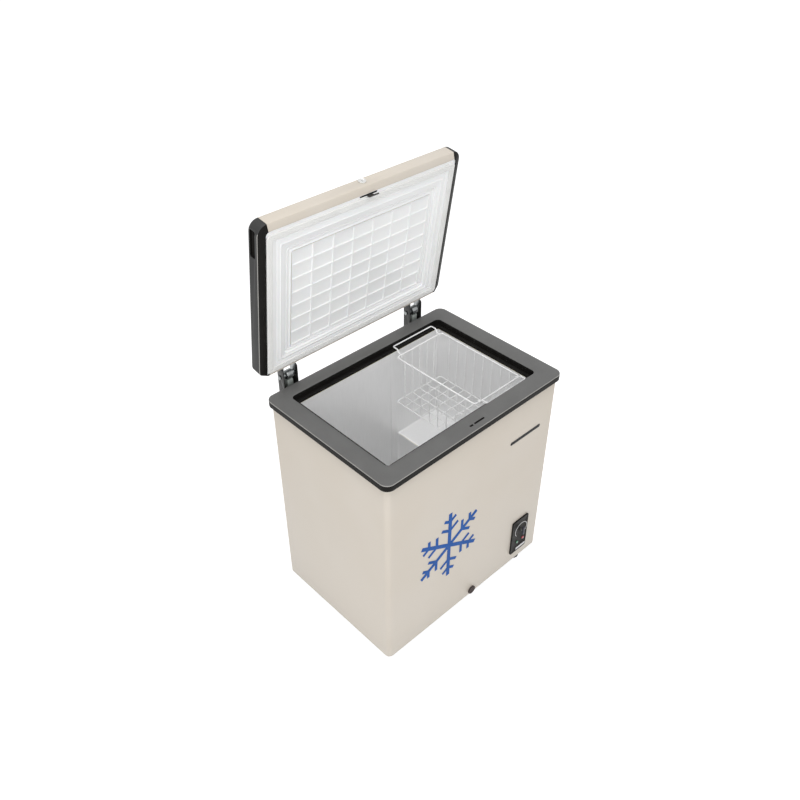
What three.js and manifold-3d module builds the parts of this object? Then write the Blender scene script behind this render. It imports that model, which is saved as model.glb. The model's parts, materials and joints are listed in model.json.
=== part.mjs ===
// A small chest freezer with a balanced lid, a wire basket and a front control panel.
// Millimetres, +Z up, front towards -Y, right towards +X.
// It is drawn from the middle of the cabinet's underside; the feet reach below that.
import * as THREE from 'three';
import { mergeVertices } from 'three/addons/utils/BufferGeometryUtils.js';
import Module from 'manifold-3d';

const wasm = await Module();
wasm.setup();

// ---------- driving dimensions ----------
const gap = 0.3;               // clearance between pieces that touch

const bodyWidth = 604;
const bodyDepth = 425.4;
const bodyHeight = 614.5;      // underside to the collar's lower edge
const bodyCorner = 15;
const shellWall = 1.5;
const shellReturn = 20;        // the shell's inturned edge at the back

const collarHeight = 18;
const collarOverhang = 7.9;
const collarPlate = 4.5;
const collarSkirt = 3;
const collarCorner = 22;
const openingSide = 50;        // width of the collar's top at the sides
const openingFront = 50.6;
const openingRear = 39.6;
const openingCorner = 12;
const ledgeWidth = 14;
const ledgeThickness = 7.5;
const breakerInset = 5;        // breaker strip's edge inside the shell

const linerWall = 1;
const linerFloor = 50;
const linerTopGap = 4;         // liner's upper edge below the collar's underside
const stepInset = 211;         // left face of the raised floor over the compressor, from the right side
const stepTop = 320;

const bayInset = 154;          // compressor bay's left side, from the right side
const bayTop = 262;
const trayThickness = 2;

const footRadius = 17;
const footHeight = 12;

const panelInset = 90.5;       // control panel's centre, from the right side
const panelZ = 98;
const panelWidth = 68;
const panelHeight = 130;
const panelProud = 4;
const panelCorner = 6;
const knobAside = 4.5;         // knob's axis from the panel's centre
const knobAbove = 20;
const knobRadius = 18;
const knobDepth = 12;
const shaftRadius = 3;

const drainX = 16;
const drainZ = 14;
const drainInset = 36;         // floor drain's axis behind the liner's front wall
const drainTubeRadius = 9;
const drainBore = 6.5;

const pivotBehind = 25.4;      // lid hinge axis behind the collar's rear edge
const pivotHeight = 14.9;      // above the collar's top
const openAngle = 81.5;        // lid angle from closed, as the model stands

const lidSideInset = 0.4;      // lid's ends inside the collar's sides
const lidRearInset = 16.3;     // lid's rear face ahead of the collar's rear edge
const lidThickness = 44;
const lidOverhang = 3.1;       // lid's front edge ahead of the collar's
const lidSeat = 0.4;           // gasket face above the collar
const lidFrontCorner = 26;
const lidRearCorner = 18;
const lidRound = 9;
const lidBevelSide = 18.5;
const lidBevelFront = 17;
const lidBevelRise = 7.4;
const lidLip = 0.6;            // lower edge of skin and caps above the gasket's face
const skinWall = 1.2;
const capWall = 2.5;
const capWidth = 25.5;         // end cap, from the lid's end to its joint with the skin

const gasketWidth = 16;
const gasketThickness = 2.2;
const lidLinerWall = 2;
const dishMargin = 53;         // flat rim beside the lining's dish
const dishDepth = 6;
const ribRows = 7;
const ribColumns = 7;

const gripLength = 70;
const gripHeight = 20;
const gripDepth = 10;

const lockDrop = 17;           // lock axis below the lid's top
const housingRoof = 5;         // foam between the lock's housing and the lid's top
const lockRadius = 8.5;
const lockSetback = 4.6;        // hook behind the bevel's inner edge

const hingeInset = 82;         // hinge's middle, from the cabinet's side
const hingeHalf = 22.5;
const hingePlate = 2.2;
const hingeAhead = 16;         // cheek's front edge ahead of the axis
const hingeBehind = 9;         // cheek's rear edge behind the axis
const hingeDrop = 112.5;       // bracket's foot below the collar's top
const pinRadius = 3.6;
const camRadius = 12;
const camOffset = 5;
const cupHalf = 9;
const springRadius = 6;
const springWire = 1.1;
const springTurns = 7;
const springRise = 28;         // foot of the spring above the bracket's foot

const basketWidth = 172;
const basketHeight = 150;
const basketSideGap = 3.9;     // between the basket and the liner, right
const basketFrontGap = 22;
const basketRearGap = 19;
const basketDrop = 2.5;        // rim below the liner's upper edge
const rimWire = 4;
const meshWire = 2.6;
const wireSpacing = 30;
const handleFrontGap = 7;      // between a handle's wire and the opening's edge
const handleRearGap = 4;
const handleLift = 3.5;        // handle's wire above the ledge it lies on
const handleRadius = 2;

// ---------- places worked out from them ----------
const halfWidth = bodyWidth / 2;
const halfDepth = bodyDepth / 2;
const innerHalfWidth = halfWidth - shellWall;
const innerHalfDepth = halfDepth - shellWall;
const collarTop = bodyHeight + collarHeight;
const collarHalfWidth = halfWidth + collarOverhang;
const collarHalfDepth = halfDepth + collarOverhang;
const openingX = collarHalfWidth - openingSide;
const openingMinY = -collarHalfDepth + openingFront;
const openingMaxY = collarHalfDepth - openingRear;
const linerTop = collarTop - collarHeight - linerTopGap;
const ledgeTop = linerTop + 0.5 + ledgeThickness;
const linerX = openingX - ledgeWidth;
const linerMinY = openingMinY + ledgeWidth;
const linerMaxY = openingMaxY - ledgeWidth;
const foamTop = linerTop + 0.3;
const drainY = linerMinY + drainInset;
const stepLeft = halfWidth - stepInset;
const bayLeft = halfWidth - bayInset;
const panelX = halfWidth - panelInset;
const knobX = panelX + knobAside;
const knobZ = panelZ + knobAbove;
const pivotY = collarHalfDepth + pivotBehind;
const pivotZ = collarTop + pivotHeight;
const hingeX = halfWidth - hingeInset;
const hingeFrontY = pivotY - hingeAhead;
const hingeRearY = pivotY + hingeBehind;
const hingeFoot = collarTop - hingeDrop;
const springFoot = hingeFoot + springRise;
const basketRight = linerX - basketSideGap;
const basketLeft = basketRight - basketWidth;
const basketFront = linerMinY + basketFrontGap;
const basketRear = linerMaxY - basketRearGap;
const basketRim = linerTop - basketDrop;
const basketBase = basketRim - basketHeight;
const handleFront = openingMinY + handleFrontGap;
const handleRear = openingMaxY - handleRearGap;
const handleBore = rimWire / Math.SQRT2 + 0.47;
const lidBase = collarTop + lidSeat;
const lidTop = lidBase + lidThickness;
const lidFront = -collarHalfDepth - lidOverhang;
const lidRear = collarHalfDepth - lidRearInset;
const lidHalf = collarHalfWidth - lidSideInset;
const seamX = lidHalf - capWidth;
const dishHalf = lidHalf - lidBevelSide - dishMargin;

// ---------- solids ----------
function toSolid(geometry) {
  const bare = geometry.clone();
  bare.deleteAttribute('normal');
  bare.deleteAttribute('uv');
  const merged = mergeVertices(bare, 1e-4);
  return new wasm.Manifold(new wasm.Mesh({
    numProp: 3,
    vertProperties: new Float32Array(merged.attributes.position.array),
    triVerts: new Uint32Array(merged.index.array),
  }));
}

function toGeometry(solid) {
  const mesh = solid.getMesh();
  const geometry = new THREE.BufferGeometry();
  geometry.setAttribute('position', new THREE.BufferAttribute(new Float32Array(mesh.vertProperties), 3));
  geometry.setIndex(new THREE.BufferAttribute(new Uint32Array(mesh.triVerts), 1));
  return geometry;
}

function block(x0, x1, y0, y1, z0, z1) {
  const box = new THREE.BoxGeometry(x1 - x0, y1 - y0, z1 - z0);
  box.translate((x0 + x1) / 2, (y0 + y1) / 2, (z0 + z1) / 2);
  return toSolid(box);
}

// A round bar between two heights along Z, standing at (x, y).
function post(x, y, radius, z0, z1, sides = 16) {
  const bar = new THREE.CylinderGeometry(radius, radius, z1 - z0, sides);
  bar.rotateX(Math.PI / 2);
  bar.translate(x, y, (z0 + z1) / 2);
  return toSolid(bar);
}

// A round bar along Y at (x, z).
function barY(x, z, radius, y0, y1, sides = 16) {
  const bar = new THREE.CylinderGeometry(radius, radius, y1 - y0, sides);
  bar.translate(x, (y0 + y1) / 2, z);
  return toSolid(bar);
}

// A round bar along X at (y, z).
function barX(y, z, radius, x0, x1, sides = 16) {
  const bar = new THREE.CylinderGeometry(radius, radius, x1 - x0, sides);
  bar.rotateZ(Math.PI / 2);
  bar.translate((x0 + x1) / 2, y, z);
  return toSolid(bar);
}

function extruded(shape, length, curveSegments) {
  return new THREE.ExtrudeGeometry(shape, { depth: length, bevelEnabled: false, curveSegments });
}

// A plan outline (x, y) raised from z0 to z1.
function prismZ(shape, z0, z1, curveSegments = 4) {
  const solid = extruded(shape, z1 - z0, curveSegments);
  solid.translate(0, 0, z0);
  return toSolid(solid);
}

// A side profile (y, z) run from x0 to x1.
function prismX(shape, x0, x1, curveSegments = 4) {
  const solid = extruded(shape, x1 - x0, curveSegments);
  solid.applyMatrix4(new THREE.Matrix4().set(0, 0, 1, x0, 1, 0, 0, 0, 0, 1, 0, 0, 0, 0, 0, 1));
  return toSolid(solid);
}

// A front profile (x, z) run from y0 to y1.
function prismY(shape, y0, y1, curveSegments = 4) {
  const solid = extruded(shape, y1 - y0, curveSegments);
  solid.applyMatrix4(new THREE.Matrix4().set(1, 0, 0, 0, 0, 0, -1, y1, 0, 1, 0, 0, 0, 0, 0, 1));
  return toSolid(solid);
}

// A rectangle with a radius at its two low-y corners and another at its two high-y corners.
function roundedPlan(x0, x1, y0, y1, lowRadius, highRadius = lowRadius) {
  const outline = new THREE.Shape();
  outline.moveTo(x0 + lowRadius, y0);
  outline.lineTo(x1 - lowRadius, y0);
  outline.absarc(x1 - lowRadius, y0 + lowRadius, lowRadius, -Math.PI / 2, 0);
  outline.absarc(x1 - highRadius, y1 - highRadius, highRadius, 0, Math.PI / 2);
  outline.absarc(x0 + highRadius, y1 - highRadius, highRadius, Math.PI / 2, Math.PI);
  outline.absarc(x0 + lowRadius, y0 + lowRadius, lowRadius, Math.PI, 1.5 * Math.PI);
  return outline;
}

function join(first, ...others) {
  return others.reduce((whole, piece) => whole.add(piece), first);
}

function cut(first, ...tools) {
  return tools.reduce((whole, tool) => whole.subtract(tool), first);
}

// A round wire or pipe along a curve.
function wire(curve, radius, steps, sides = 8) {
  const section = new THREE.Shape();
  section.absarc(0, 0, radius, 0, 2 * Math.PI);
  const solid = new THREE.ExtrudeGeometry(section, {
    steps,
    extrudePath: curve,
    curveSegments: sides / 2,
    bevelEnabled: false,
  });
  return toSolid(solid);
}

// Straight runs between points, with each inner corner rounded by a quadratic curve.
function roundedPath(points, corner) {
  const path = new THREE.CurvePath();
  let start = points[0];
  for (let i = 1; i < points.length - 1; i += 1) {
    const into = points[i].clone().sub(points[i - 1]);
    const out = points[i + 1].clone().sub(points[i]);
    into.setLength(Math.min(corner, into.length() * 0.45));
    out.setLength(Math.min(corner, out.length() * 0.45));
    const before = points[i].clone().sub(into);
    const after = points[i].clone().add(out);
    path.add(new THREE.LineCurve3(start, before));
    path.add(new THREE.QuadraticBezierCurve3(before, points[i], after));
    start = after;
  }
  path.add(new THREE.LineCurve3(start, points[points.length - 1]));
  return path;
}

const at = (x, y, z) => new THREE.Vector3(x, y, z);

// ---------- the scene graph ----------
const freezer = new THREE.Group();
const cabinet = new THREE.Group();
const lid = new THREE.Group();
freezer.add(cabinet, lid);

// The lid group turns about the hinge axis; its pieces are drawn closed, about that axis.
lid.position.set(0, pivotY, pivotZ);
lid.rotation.x = THREE.MathUtils.degToRad(-openAngle);

function place(group, name, solid, color, roughness, metalness = 0) {
  const material = new THREE.MeshStandardMaterial({ color, roughness, metalness });
  const mesh = new THREE.Mesh(toGeometry(solid), material);
  mesh.name = name;
  group.add(mesh);
}

function placeOnLid(name, solid, color, roughness, metalness = 0) {
  place(lid, name, solid.translate([0, -pivotY, -pivotZ]), color, roughness, metalness);
}

const beige = 0xd2c9bd;
const black = 0x201f1c;
const charcoal = 0x454545;
const white = 0xe9e9e9;
const zinc = 0xa9abab;
const foamColor = 0xe3d9a8;

// ---------- outer shell, back and base ----------
const panelCut = block(panelX - panelWidth / 2 + 5, panelX + panelWidth / 2 - 5,
  -halfDepth - 1, -innerHalfDepth + 1, panelZ - panelHeight / 2 + 5, panelZ + panelHeight / 2 - 5);
const shellOutline = roundedPlan(-halfWidth, halfWidth, -halfDepth, halfDepth, bodyCorner);
const shellInside = roundedPlan(-innerHalfWidth, innerHalfWidth, -innerHalfDepth, innerHalfDepth,
  bodyCorner - shellWall);
const backOpening = halfWidth - shellReturn;
place(cabinet, 'outer_shell', cut(
  prismZ(shellOutline, 0, bodyHeight - gap),
  prismZ(shellInside, -1, bodyHeight + 1),
  block(-backOpening, backOpening, innerHalfDepth - 5, halfDepth + 1, -1, bodyHeight + 1),
  panelCut,
  barY(drainX, drainZ, drainTubeRadius + gap, -halfDepth - 1, -innerHalfDepth + 1),
), beige, 0.45);

const coverLeft = bayLeft + 8;
const coverRight = backOpening - 8;
const coverBottom = 18;
const coverTop = bayTop - 20;
place(cabinet, 'rear_panel', cut(
  block(-backOpening + gap, backOpening - gap, innerHalfDepth, halfDepth, 0, bodyHeight - gap),
  block(coverLeft + 8, coverRight - 8, innerHalfDepth - 1, halfDepth + 1, coverBottom + 8, coverTop - 8),
), beige, 0.5);

place(cabinet, 'base_panel', cut(
  prismZ(roundedPlan(-innerHalfWidth + gap, innerHalfWidth - gap, -innerHalfDepth + gap,
    innerHalfDepth - gap, bodyCorner - shellWall), 0, shellWall),
  block(bayLeft - 0.5, halfWidth, -halfDepth, halfDepth, -1, 3),
), zinc, 0.4, 0.8);

place(cabinet, 'compressor_tray', cut(
  prismZ(roundedPlan(-innerHalfWidth + gap, innerHalfWidth - gap, -innerHalfDepth + gap,
    innerHalfDepth - gap, bodyCorner - shellWall), 0, trayThickness),
  block(-halfWidth, bayLeft, -halfDepth, halfDepth, -1, 3),
), zinc, 0.4, 0.8);

// ---------- inner liner with the step over the compressor ----------
function tub(grow, top) {
  const deep = block(-linerX - grow, stepLeft + grow, linerMinY - grow, linerMaxY + grow,
    linerFloor - grow, top);
  const shallow = block(-linerX - grow, linerX + grow, linerMinY - grow, linerMaxY + grow,
    stepTop - grow, top);
  return join(deep, shallow);
}
const floorDrainHole = post(drainX, drainY, drainBore, linerFloor - 5, linerFloor + 5);
place(cabinet, 'inner_liner', cut(
  tub(linerWall, linerTop),
  tub(0, linerTop + 10),
  floorDrainHole,
), 0xc4c6c6, 0.35, 0.9);

const seamWidth = 22;
const seamLeft = stepLeft - seamWidth - 5;
place(cabinet, 'liner_seam_strip',
  block(seamLeft, seamLeft + seamWidth, linerMaxY - gap - 0.8, linerMaxY - gap, linerFloor + 1, linerTop - 2),
  0xd6d8d8, 0.3, 0.9);

// ---------- drain ----------
function drainPath(radius, extra) {
  return join(
    post(drainX, drainY, radius, drainZ, linerFloor - linerWall - gap + extra),
    barY(drainX, drainZ, radius, -halfDepth + gap - extra, drainY),
    post(drainX, drainY, radius, drainZ - radius, drainZ),
  );
}
place(cabinet, 'drain_tube', cut(drainPath(drainTubeRadius, 0), drainPath(drainBore, 2)), 0x8b8b86, 0.6);

place(cabinet, 'drain_plug', join(
  barY(drainX, drainZ, 13, -halfDepth - gap - 4, -halfDepth - gap, 28),
  barY(drainX, drainZ, drainBore - gap, -halfDepth - gap - 1, -halfDepth + 18),
), 0x3a2e2c, 0.6);

place(cabinet, 'floor_drain_plug', join(
  post(drainX, drainY, 12, linerFloor + gap, linerFloor + 4),
  post(drainX, drainY, drainBore - gap, linerFloor - 12, linerFloor + 1),
), 0x55504c, 0.7);

// ---------- foam between shell and liner ----------
place(cabinet, 'foam_insulation', cut(
  prismZ(roundedPlan(-innerHalfWidth + gap, innerHalfWidth - gap, -innerHalfDepth + gap,
    innerHalfDepth - gap, bodyCorner - shellWall - gap), shellWall + gap, foamTop),
  tub(linerWall + gap, foamTop + 10),
  block(bayLeft - gap, halfWidth, -halfDepth, halfDepth, -1, bayTop + gap),
  drainPath(drainTubeRadius + gap, 2),
), foamColor, 0.9);

// ---------- collar and breaker strip round the opening ----------
const openingPlan = roundedPlan(-openingX, openingX, openingMinY, openingMaxY, openingCorner);
const collarPlan = roundedPlan(-collarHalfWidth, collarHalfWidth, -collarHalfDepth, collarHalfDepth,
  collarCorner);
const skirtInside = roundedPlan(-collarHalfWidth + collarSkirt, collarHalfWidth - collarSkirt,
  -collarHalfDepth + collarSkirt, collarHalfDepth - collarSkirt, collarCorner - collarSkirt);
const collarRing = cut(
  prismZ(collarPlan, bodyHeight, collarTop),
  prismZ(skirtInside, bodyHeight - 1, collarTop - collarPlate),
);
const innerWall = cut(
  prismZ(roundedPlan(-openingX - 2.5, openingX + 2.5, openingMinY - 2.5, openingMaxY + 2.5,
    openingCorner + 2.5), ledgeTop + gap, collarTop - collarPlate + 1),
);
const lockSlotY = lidFront + lidBevelFront + lockSetback;
const longSlot = block(-8, 26, lockSlotY - 3, lockSlotY + 3, collarTop - 10, collarTop + 1);
const shortSlot = block(-24, -13, lockSlotY - 3, lockSlotY + 3, collarTop - 10, collarTop + 1);
place(cabinet, 'top_collar', cut(
  join(collarRing, innerWall),
  prismZ(openingPlan, bodyHeight - 1, collarTop + 1),
  longSlot,
  shortSlot,
), 0x6e6e6e, 0.45);

const linerPlan = roundedPlan(-linerX, linerX, linerMinY, linerMaxY, 4);
place(cabinet, 'breaker_strip', cut(
  prismZ(roundedPlan(breakerInset - innerHalfWidth, innerHalfWidth - breakerInset,
    breakerInset - innerHalfDepth, innerHalfDepth - breakerInset, 12),
    ledgeTop - ledgeThickness, ledgeTop),
  prismZ(linerPlan, ledgeTop - ledgeThickness - 1, ledgeTop + 1),
), black, 0.5);

// ---------- compressor bay ----------
const compressorX = halfWidth - 78;
const compressorY = halfDepth - 108.7;
const drierY = 92.7 - halfDepth;
const dischargeY = 112.7 - halfDepth;
const grommetTop = 16;
const grommetReach = 52;
const grommetPlaces = [
  [compressorX - 42, compressorY - 40],
  [compressorX + 42, compressorY - 40],
  [compressorX, compressorY + grommetReach],
];
grommetPlaces.forEach(([x, y], i) => {
  place(cabinet, `compressor_grommet_${i + 1}`,
    post(x, y, 9, trayThickness + gap, grommetTop, 16), 0x2b2b2b, 0.9);
});

const dome = [
  [0, 0], [48, 0], [58, 10], [60, 40], [60, 84], [54, 112], [38, 130], [16, 137], [0, 138],
].map(([r, z]) => new THREE.Vector2(r, z));
const domeGeometry = new THREE.LatheGeometry(dome, 16);
domeGeometry.rotateX(Math.PI / 2);
domeGeometry.translate(compressorX, compressorY, grommetTop + gap + 3);
place(cabinet, 'compressor', join(
  toSolid(domeGeometry),
  block(compressorX - 52, compressorX + 52, compressorY - 50, compressorY - 28,
    grommetTop + gap, grommetTop + gap + 4),
  block(compressorX - 14, compressorX + 14, compressorY, compressorY + 62,
    grommetTop + gap, grommetTop + gap + 4),
), 0x1d1d1d, 0.45);

place(cabinet, 'terminal_box',
  block(compressorX - 24, compressorX + 24, compressorY - 92, compressorY - 61, 60, 108), 0x2a2a2a, 0.6);

const domeTop = grommetTop + 3 + 138;
place(cabinet, 'suction_pipe', wire(roundedPath([
  at(compressorX + 18, compressorY + 20, domeTop + 2),
  at(compressorX + 18, compressorY + 20, domeTop + 40),
  at(bayLeft + 24, compressorY + 20, domeTop + 40),
  at(bayLeft + 24, compressorY - 130, domeTop + 40),
], 14), 4, 20, 6), 0xb0643c, 0.35, 0.9);

place(cabinet, 'filter_drier', join(
  post(bayLeft + 24, drierY, 10, 70, 170, 16),
  post(bayLeft + 24, drierY, 4, 50, 190, 12),
), 0xb0643c, 0.35, 0.9);

place(cabinet, 'discharge_pipe', wire(roundedPath([
  at(compressorX - 18, compressorY - 20, domeTop + 2),
  at(compressorX - 18, compressorY - 20, domeTop + 18),
  at(compressorX - 18, dischargeY, domeTop + 18),
  at(compressorX - 18, dischargeY, 46),
  at(bayLeft + 40, dischargeY, 46),
], 14), 3, 24, 6), 0xb0643c, 0.35, 0.9);

const louvres = [];
for (let z = coverBottom + 60; z < coverTop - 24; z += 16) {
  louvres.push(block(coverLeft + 22, coverRight - 22, halfDepth, halfDepth + 6, z, z + 6));
}
const glandX = coverRight - 26;
const glandZ = coverBottom + 26;
place(cabinet, 'compressor_cover', cut(
  block(coverLeft, coverRight, halfDepth + gap, halfDepth + gap + 1.2, coverBottom, coverTop),
  ...louvres,
  barY(glandX, glandZ, 9 + gap, halfDepth, halfDepth + 5),
), zinc, 0.45, 0.7);

place(cabinet, 'cable_gland', cut(
  join(
    barY(glandX, glandZ, 9, halfDepth - 12, halfDepth + gap + 2),
    barY(glandX, glandZ, 13, halfDepth + gap + 1.2 + gap, halfDepth + gap + 7),
  ),
  barY(glandX, glandZ, 4, halfDepth - 20, halfDepth + 20, 12),
), 0x242424, 0.7);

// ---------- feet ----------
const footPlaces = {
  foot_front_left: [82 - halfWidth, 92.7 - halfDepth],
  foot_front_right: [halfWidth - 81, 17.7 - halfDepth],
  foot_rear_left: [52 - halfWidth, halfDepth - 42.7],
  foot_rear_right: [halfWidth - 52, halfDepth - 42.7],
};
for (const [name, [x, y]] of Object.entries(footPlaces)) {
  place(cabinet, name, post(x, y, footRadius, -footHeight, -gap, 24), 0x262626, 0.8);
}

// ---------- control panel ----------
const panelFace = -halfDepth - gap - panelProud;
const lampY = panelFace - 0.8;
const lamps = { power_lamp: [panelX - 7.5, 71.5, 0x3f7f5f], alarm_lamp: [panelX + 17.5, 73, 0xb83040] };
const lampHoles = Object.values(lamps).map(([x, z]) => barY(x, z, 4.8, panelFace - 1, -halfDepth + 40));
const panelBody = join(
  prismY(roundedPlan(panelX - panelWidth / 2, panelX + panelWidth / 2, panelZ - panelHeight / 2,
    panelZ + panelHeight / 2, panelCorner), panelFace, -halfDepth - gap),
  block(panelX - panelWidth / 2 + 6, panelX + panelWidth / 2 - 6, -halfDepth - gap - 1,
    -halfDepth + 8, panelZ - panelHeight / 2 + 6, panelZ + panelHeight / 2 - 6),
);
place(cabinet, 'control_panel', cut(
  panelBody,
  block(panelX - panelWidth / 2 + 8, panelX + panelWidth / 2 - 8, -halfDepth + 1,
    -halfDepth + 9, panelZ - panelHeight / 2 + 8, panelZ + panelHeight / 2 - 8),
  barY(knobX, knobZ, shaftRadius + 0.8, panelFace - 1, -halfDepth + 5),
  ...lampHoles,
), 0x1c1a18, 0.4);

place(cabinet, 'thermostat', join(
  block(knobX - 20, knobX + 20, -halfDepth + 9, -halfDepth + 34, knobZ - 19, knobZ + 19),
  barY(knobX, knobZ, shaftRadius, panelFace - knobDepth + 4, -halfDepth + 10),
), 0xb9b9b4, 0.5, 0.4);

place(cabinet, 'thermostat_knob', cut(
  join(
    barY(knobX, knobZ, knobRadius, panelFace - gap - 5, panelFace - gap - 0.3, 32),
    barY(knobX, knobZ, knobRadius - 3, panelFace - knobDepth + 2, panelFace - gap - 4, 32),
    block(knobX - 3.5, knobX + 3.5, panelFace - knobDepth, panelFace - 4, knobZ - knobRadius + 3,
      knobZ + knobRadius - 3),
  ),
  barY(knobX, knobZ, shaftRadius + 0.3, panelFace - knobDepth + 3.6, panelFace + 1),
), 0x3a3a42, 0.45);

const dial = new THREE.Shape();
const dialStart = -0.25 * Math.PI;
const dialEnd = 1.25 * Math.PI;
dial.absarc(knobX, knobZ, 26, dialStart, dialEnd);
dial.absarc(knobX, knobZ, 24.4, dialEnd, dialStart, true);
place(cabinet, 'dial_scale', prismY(dial, panelFace - gap - 0.4, panelFace - gap, 12), white, 0.5);

for (const [name, [x, z, color]] of Object.entries(lamps)) {
  place(cabinet, name, join(
    barY(x, z, 4.5, lampY, -halfDepth - 1),
    barY(x, z, 3.4, lampY - 1.2, lampY + 1),
  ), color, 0.25);
}

place(cabinet, 'panel_label',
  block(panelX - 10.5, panelX + 30.5, panelFace - gap - 0.4, panelFace - gap, 40, 48), white, 0.5);

// ---------- printed marks on the front ----------
const motifX = -halfWidth + 214;
const motifZ = 278;
const motifArm = 116;
const motifBar = 12;
const motifBack = -halfDepth - gap;
const motifFace = motifBack - 0.4;
const arms = [];
for (let i = 0; i < 6; i += 1) {
  const arm = join(
    block(-motifBar / 2, motifBar / 2, motifFace, motifBack, 0, motifArm),
    ...[[0.46, 34], [0.74, 24]].flatMap(([share, length]) => [-1, 1].map((side) => (
      block(-motifBar / 2.6, motifBar / 2.6, motifFace, motifBack, 0, length)
        .rotate([0, side * 60, 0])
        .translate([0, 0, share * motifArm])
    ))),
  );
  arms.push(arm.rotate([0, i * 60, 0]));
}
place(cabinet, 'front_motif', join(...arms).translate([motifX, 0, motifZ]), 0x0054a6, 0.4);

const nameBar = roundedPlan(halfWidth - 174, halfWidth - 56, bodyHeight - 129.5, bodyHeight - 119.5, 4.5);
place(cabinet, 'name_bar', prismY(nameBar, motifFace, motifBack), 0x1f1f22, 0.4);

// ---------- hinges ----------
function mirrored(side, x0, x1) {
  const low = Math.min(side * x0, side * x1);
  const high = Math.max(side * x0, side * x1);
  return [low, high];
}

// The centre line of a spring that stands between the bracket's foot plate and the cup, at a hinge's middle.
class Coil extends THREE.Curve {
  constructor(middle) {
    super();
    this.middle = middle;
  }

  getPoint(t, target = new THREE.Vector3()) {
    const turn = t * springTurns * 2 * Math.PI;
    const low = springFoot + springWire;
    const high = cupTop - cupWall - gap - springWire;
    return target.set(this.middle + springRadius * Math.cos(turn), cupY + springRadius * Math.sin(turn),
      low + (high - low) * t);
  }
}

const cheek = new THREE.Shape();
cheek.moveTo(halfDepth + 2 * gap, hingeFoot);
cheek.lineTo(hingeRearY, hingeFoot);
cheek.lineTo(hingeRearY, pivotZ + 20);
cheek.absarc(hingeRearY - 9, pivotZ + 20, 9, 0, Math.PI / 2);
cheek.absarc(hingeFrontY + 4, pivotZ + 25, 4, Math.PI / 2, Math.PI);
cheek.lineTo(hingeFrontY, bodyHeight - 4);
cheek.lineTo(halfDepth + 2 * gap, bodyHeight - 4);
cheek.closePath();

const camAngle = Math.PI / 4;
const camY = pivotY - camOffset * Math.sin(camAngle);
const camZ = pivotZ - camOffset * Math.cos(camAngle);
const restTurn = THREE.MathUtils.degToRad(openAngle);
const camRestLow = pivotZ - camRadius - camOffset * Math.cos(camAngle + restTurn);
const cupTop = camRestLow - 0.4;
const cupY = camY;
const cupWall = 3;

const arm = new THREE.Shape();
arm.moveTo(lidRear + gap, lidBase + 6);
arm.lineTo(lidRear + gap, lidBase + 34);
arm.lineTo(lidRear + 8, lidBase + 34);
arm.lineTo(pivotY + 6, pivotZ + 8);
arm.absarc(pivotY, pivotZ, 9, Math.PI / 3, -Math.PI / 2, true);
arm.lineTo(lidRear + 12, lidBase + 6);
arm.closePath();

[['left', -1], ['right', 1]].forEach(([name, side]) => {
  const middle = side * hingeX;
  const cheeks = [-1, 1].map((way) => {
    const [low, high] = mirrored(way, hingeHalf - hingePlate, hingeHalf);
    return prismX(cheek, middle + low, middle + high);
  });
  const flanges = [-1, 1].map((way) => {
    const [low, high] = mirrored(way, hingeHalf - hingePlate, hingeHalf + 14);
    return block(middle + low, middle + high, halfDepth + 2 * gap, halfDepth + 2 * gap + hingePlate,
      hingeFoot, bodyHeight - 12);
  });
  place(cabinet, `hinge_bracket_${name}`, cut(
    join(
      ...cheeks,
      ...flanges,
      block(middle - hingeHalf, middle + hingeHalf, hingeRearY - hingePlate, hingeRearY,
        hingeFoot, pivotZ - camRadius - camOffset),
      block(middle - hingeHalf, middle + hingeHalf, cupY - cupHalf - 2, hingeRearY,
        springFoot - gap - hingePlate, springFoot - gap),
    ),
    barX(pivotY, pivotZ, pinRadius + gap, middle - hingeHalf - 1, middle + hingeHalf + 1),
  ), 0x1c1c1b, 0.4, 0.5);

  place(cabinet, `hinge_pin_${name}`, join(
    barX(pivotY, pivotZ, pinRadius, middle - hingeHalf - 2, middle + hingeHalf + 2),
    barX(pivotY, pivotZ, pinRadius + 2.2, middle - hingeHalf - 3, middle - hingeHalf - gap, 16),
    barX(pivotY, pivotZ, pinRadius + 2.2, middle + hingeHalf + gap, middle + hingeHalf + 3, 16),
  ), 0xb4b6b6, 0.3, 0.9);

  place(cabinet, `hinge_spring_${name}`,
    wire(new Coil(middle), springWire, Math.round(springTurns * 8), 6), 0x8f9496, 0.35, 0.9);

  place(cabinet, `spring_cup_${name}`, cut(
    block(middle - cupHalf, middle + cupHalf, cupY - cupHalf, cupY + cupHalf, cupTop - 36, cupTop),
    post(middle, cupY, springRadius + springWire + 0.5, cupTop - 40, cupTop - cupWall, 20),
  ), 0x9aa09c, 0.45);

  const armPlates = [-1, 1].map((way) => {
    const [low, high] = mirrored(way, hingeHalf - hingePlate - gap - 2.4, hingeHalf - hingePlate - gap);
    return prismX(arm, middle + low, middle + high);
  });
  const leafHalf = hingeHalf - hingePlate - gap;
  placeOnLid(`hinge_leaf_${name}`, cut(
    join(
      ...armPlates,
      block(middle - leafHalf, middle + leafHalf, lidRear + gap, lidRear + gap + 2.4, lidBase + 4, lidBase + 38),
      barX(camY, camZ, camRadius, middle - cupHalf, middle + cupHalf, 36),
      barX(pivotY, pivotZ, pinRadius + 3, middle - leafHalf + 1, middle + leafHalf - 1, 24),
    ),
    barX(pivotY, pivotZ, pinRadius + gap, middle - hingeHalf - 1, middle + hingeHalf + 1),
  ), 0x8d9191, 0.4, 0.8);
});

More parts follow.
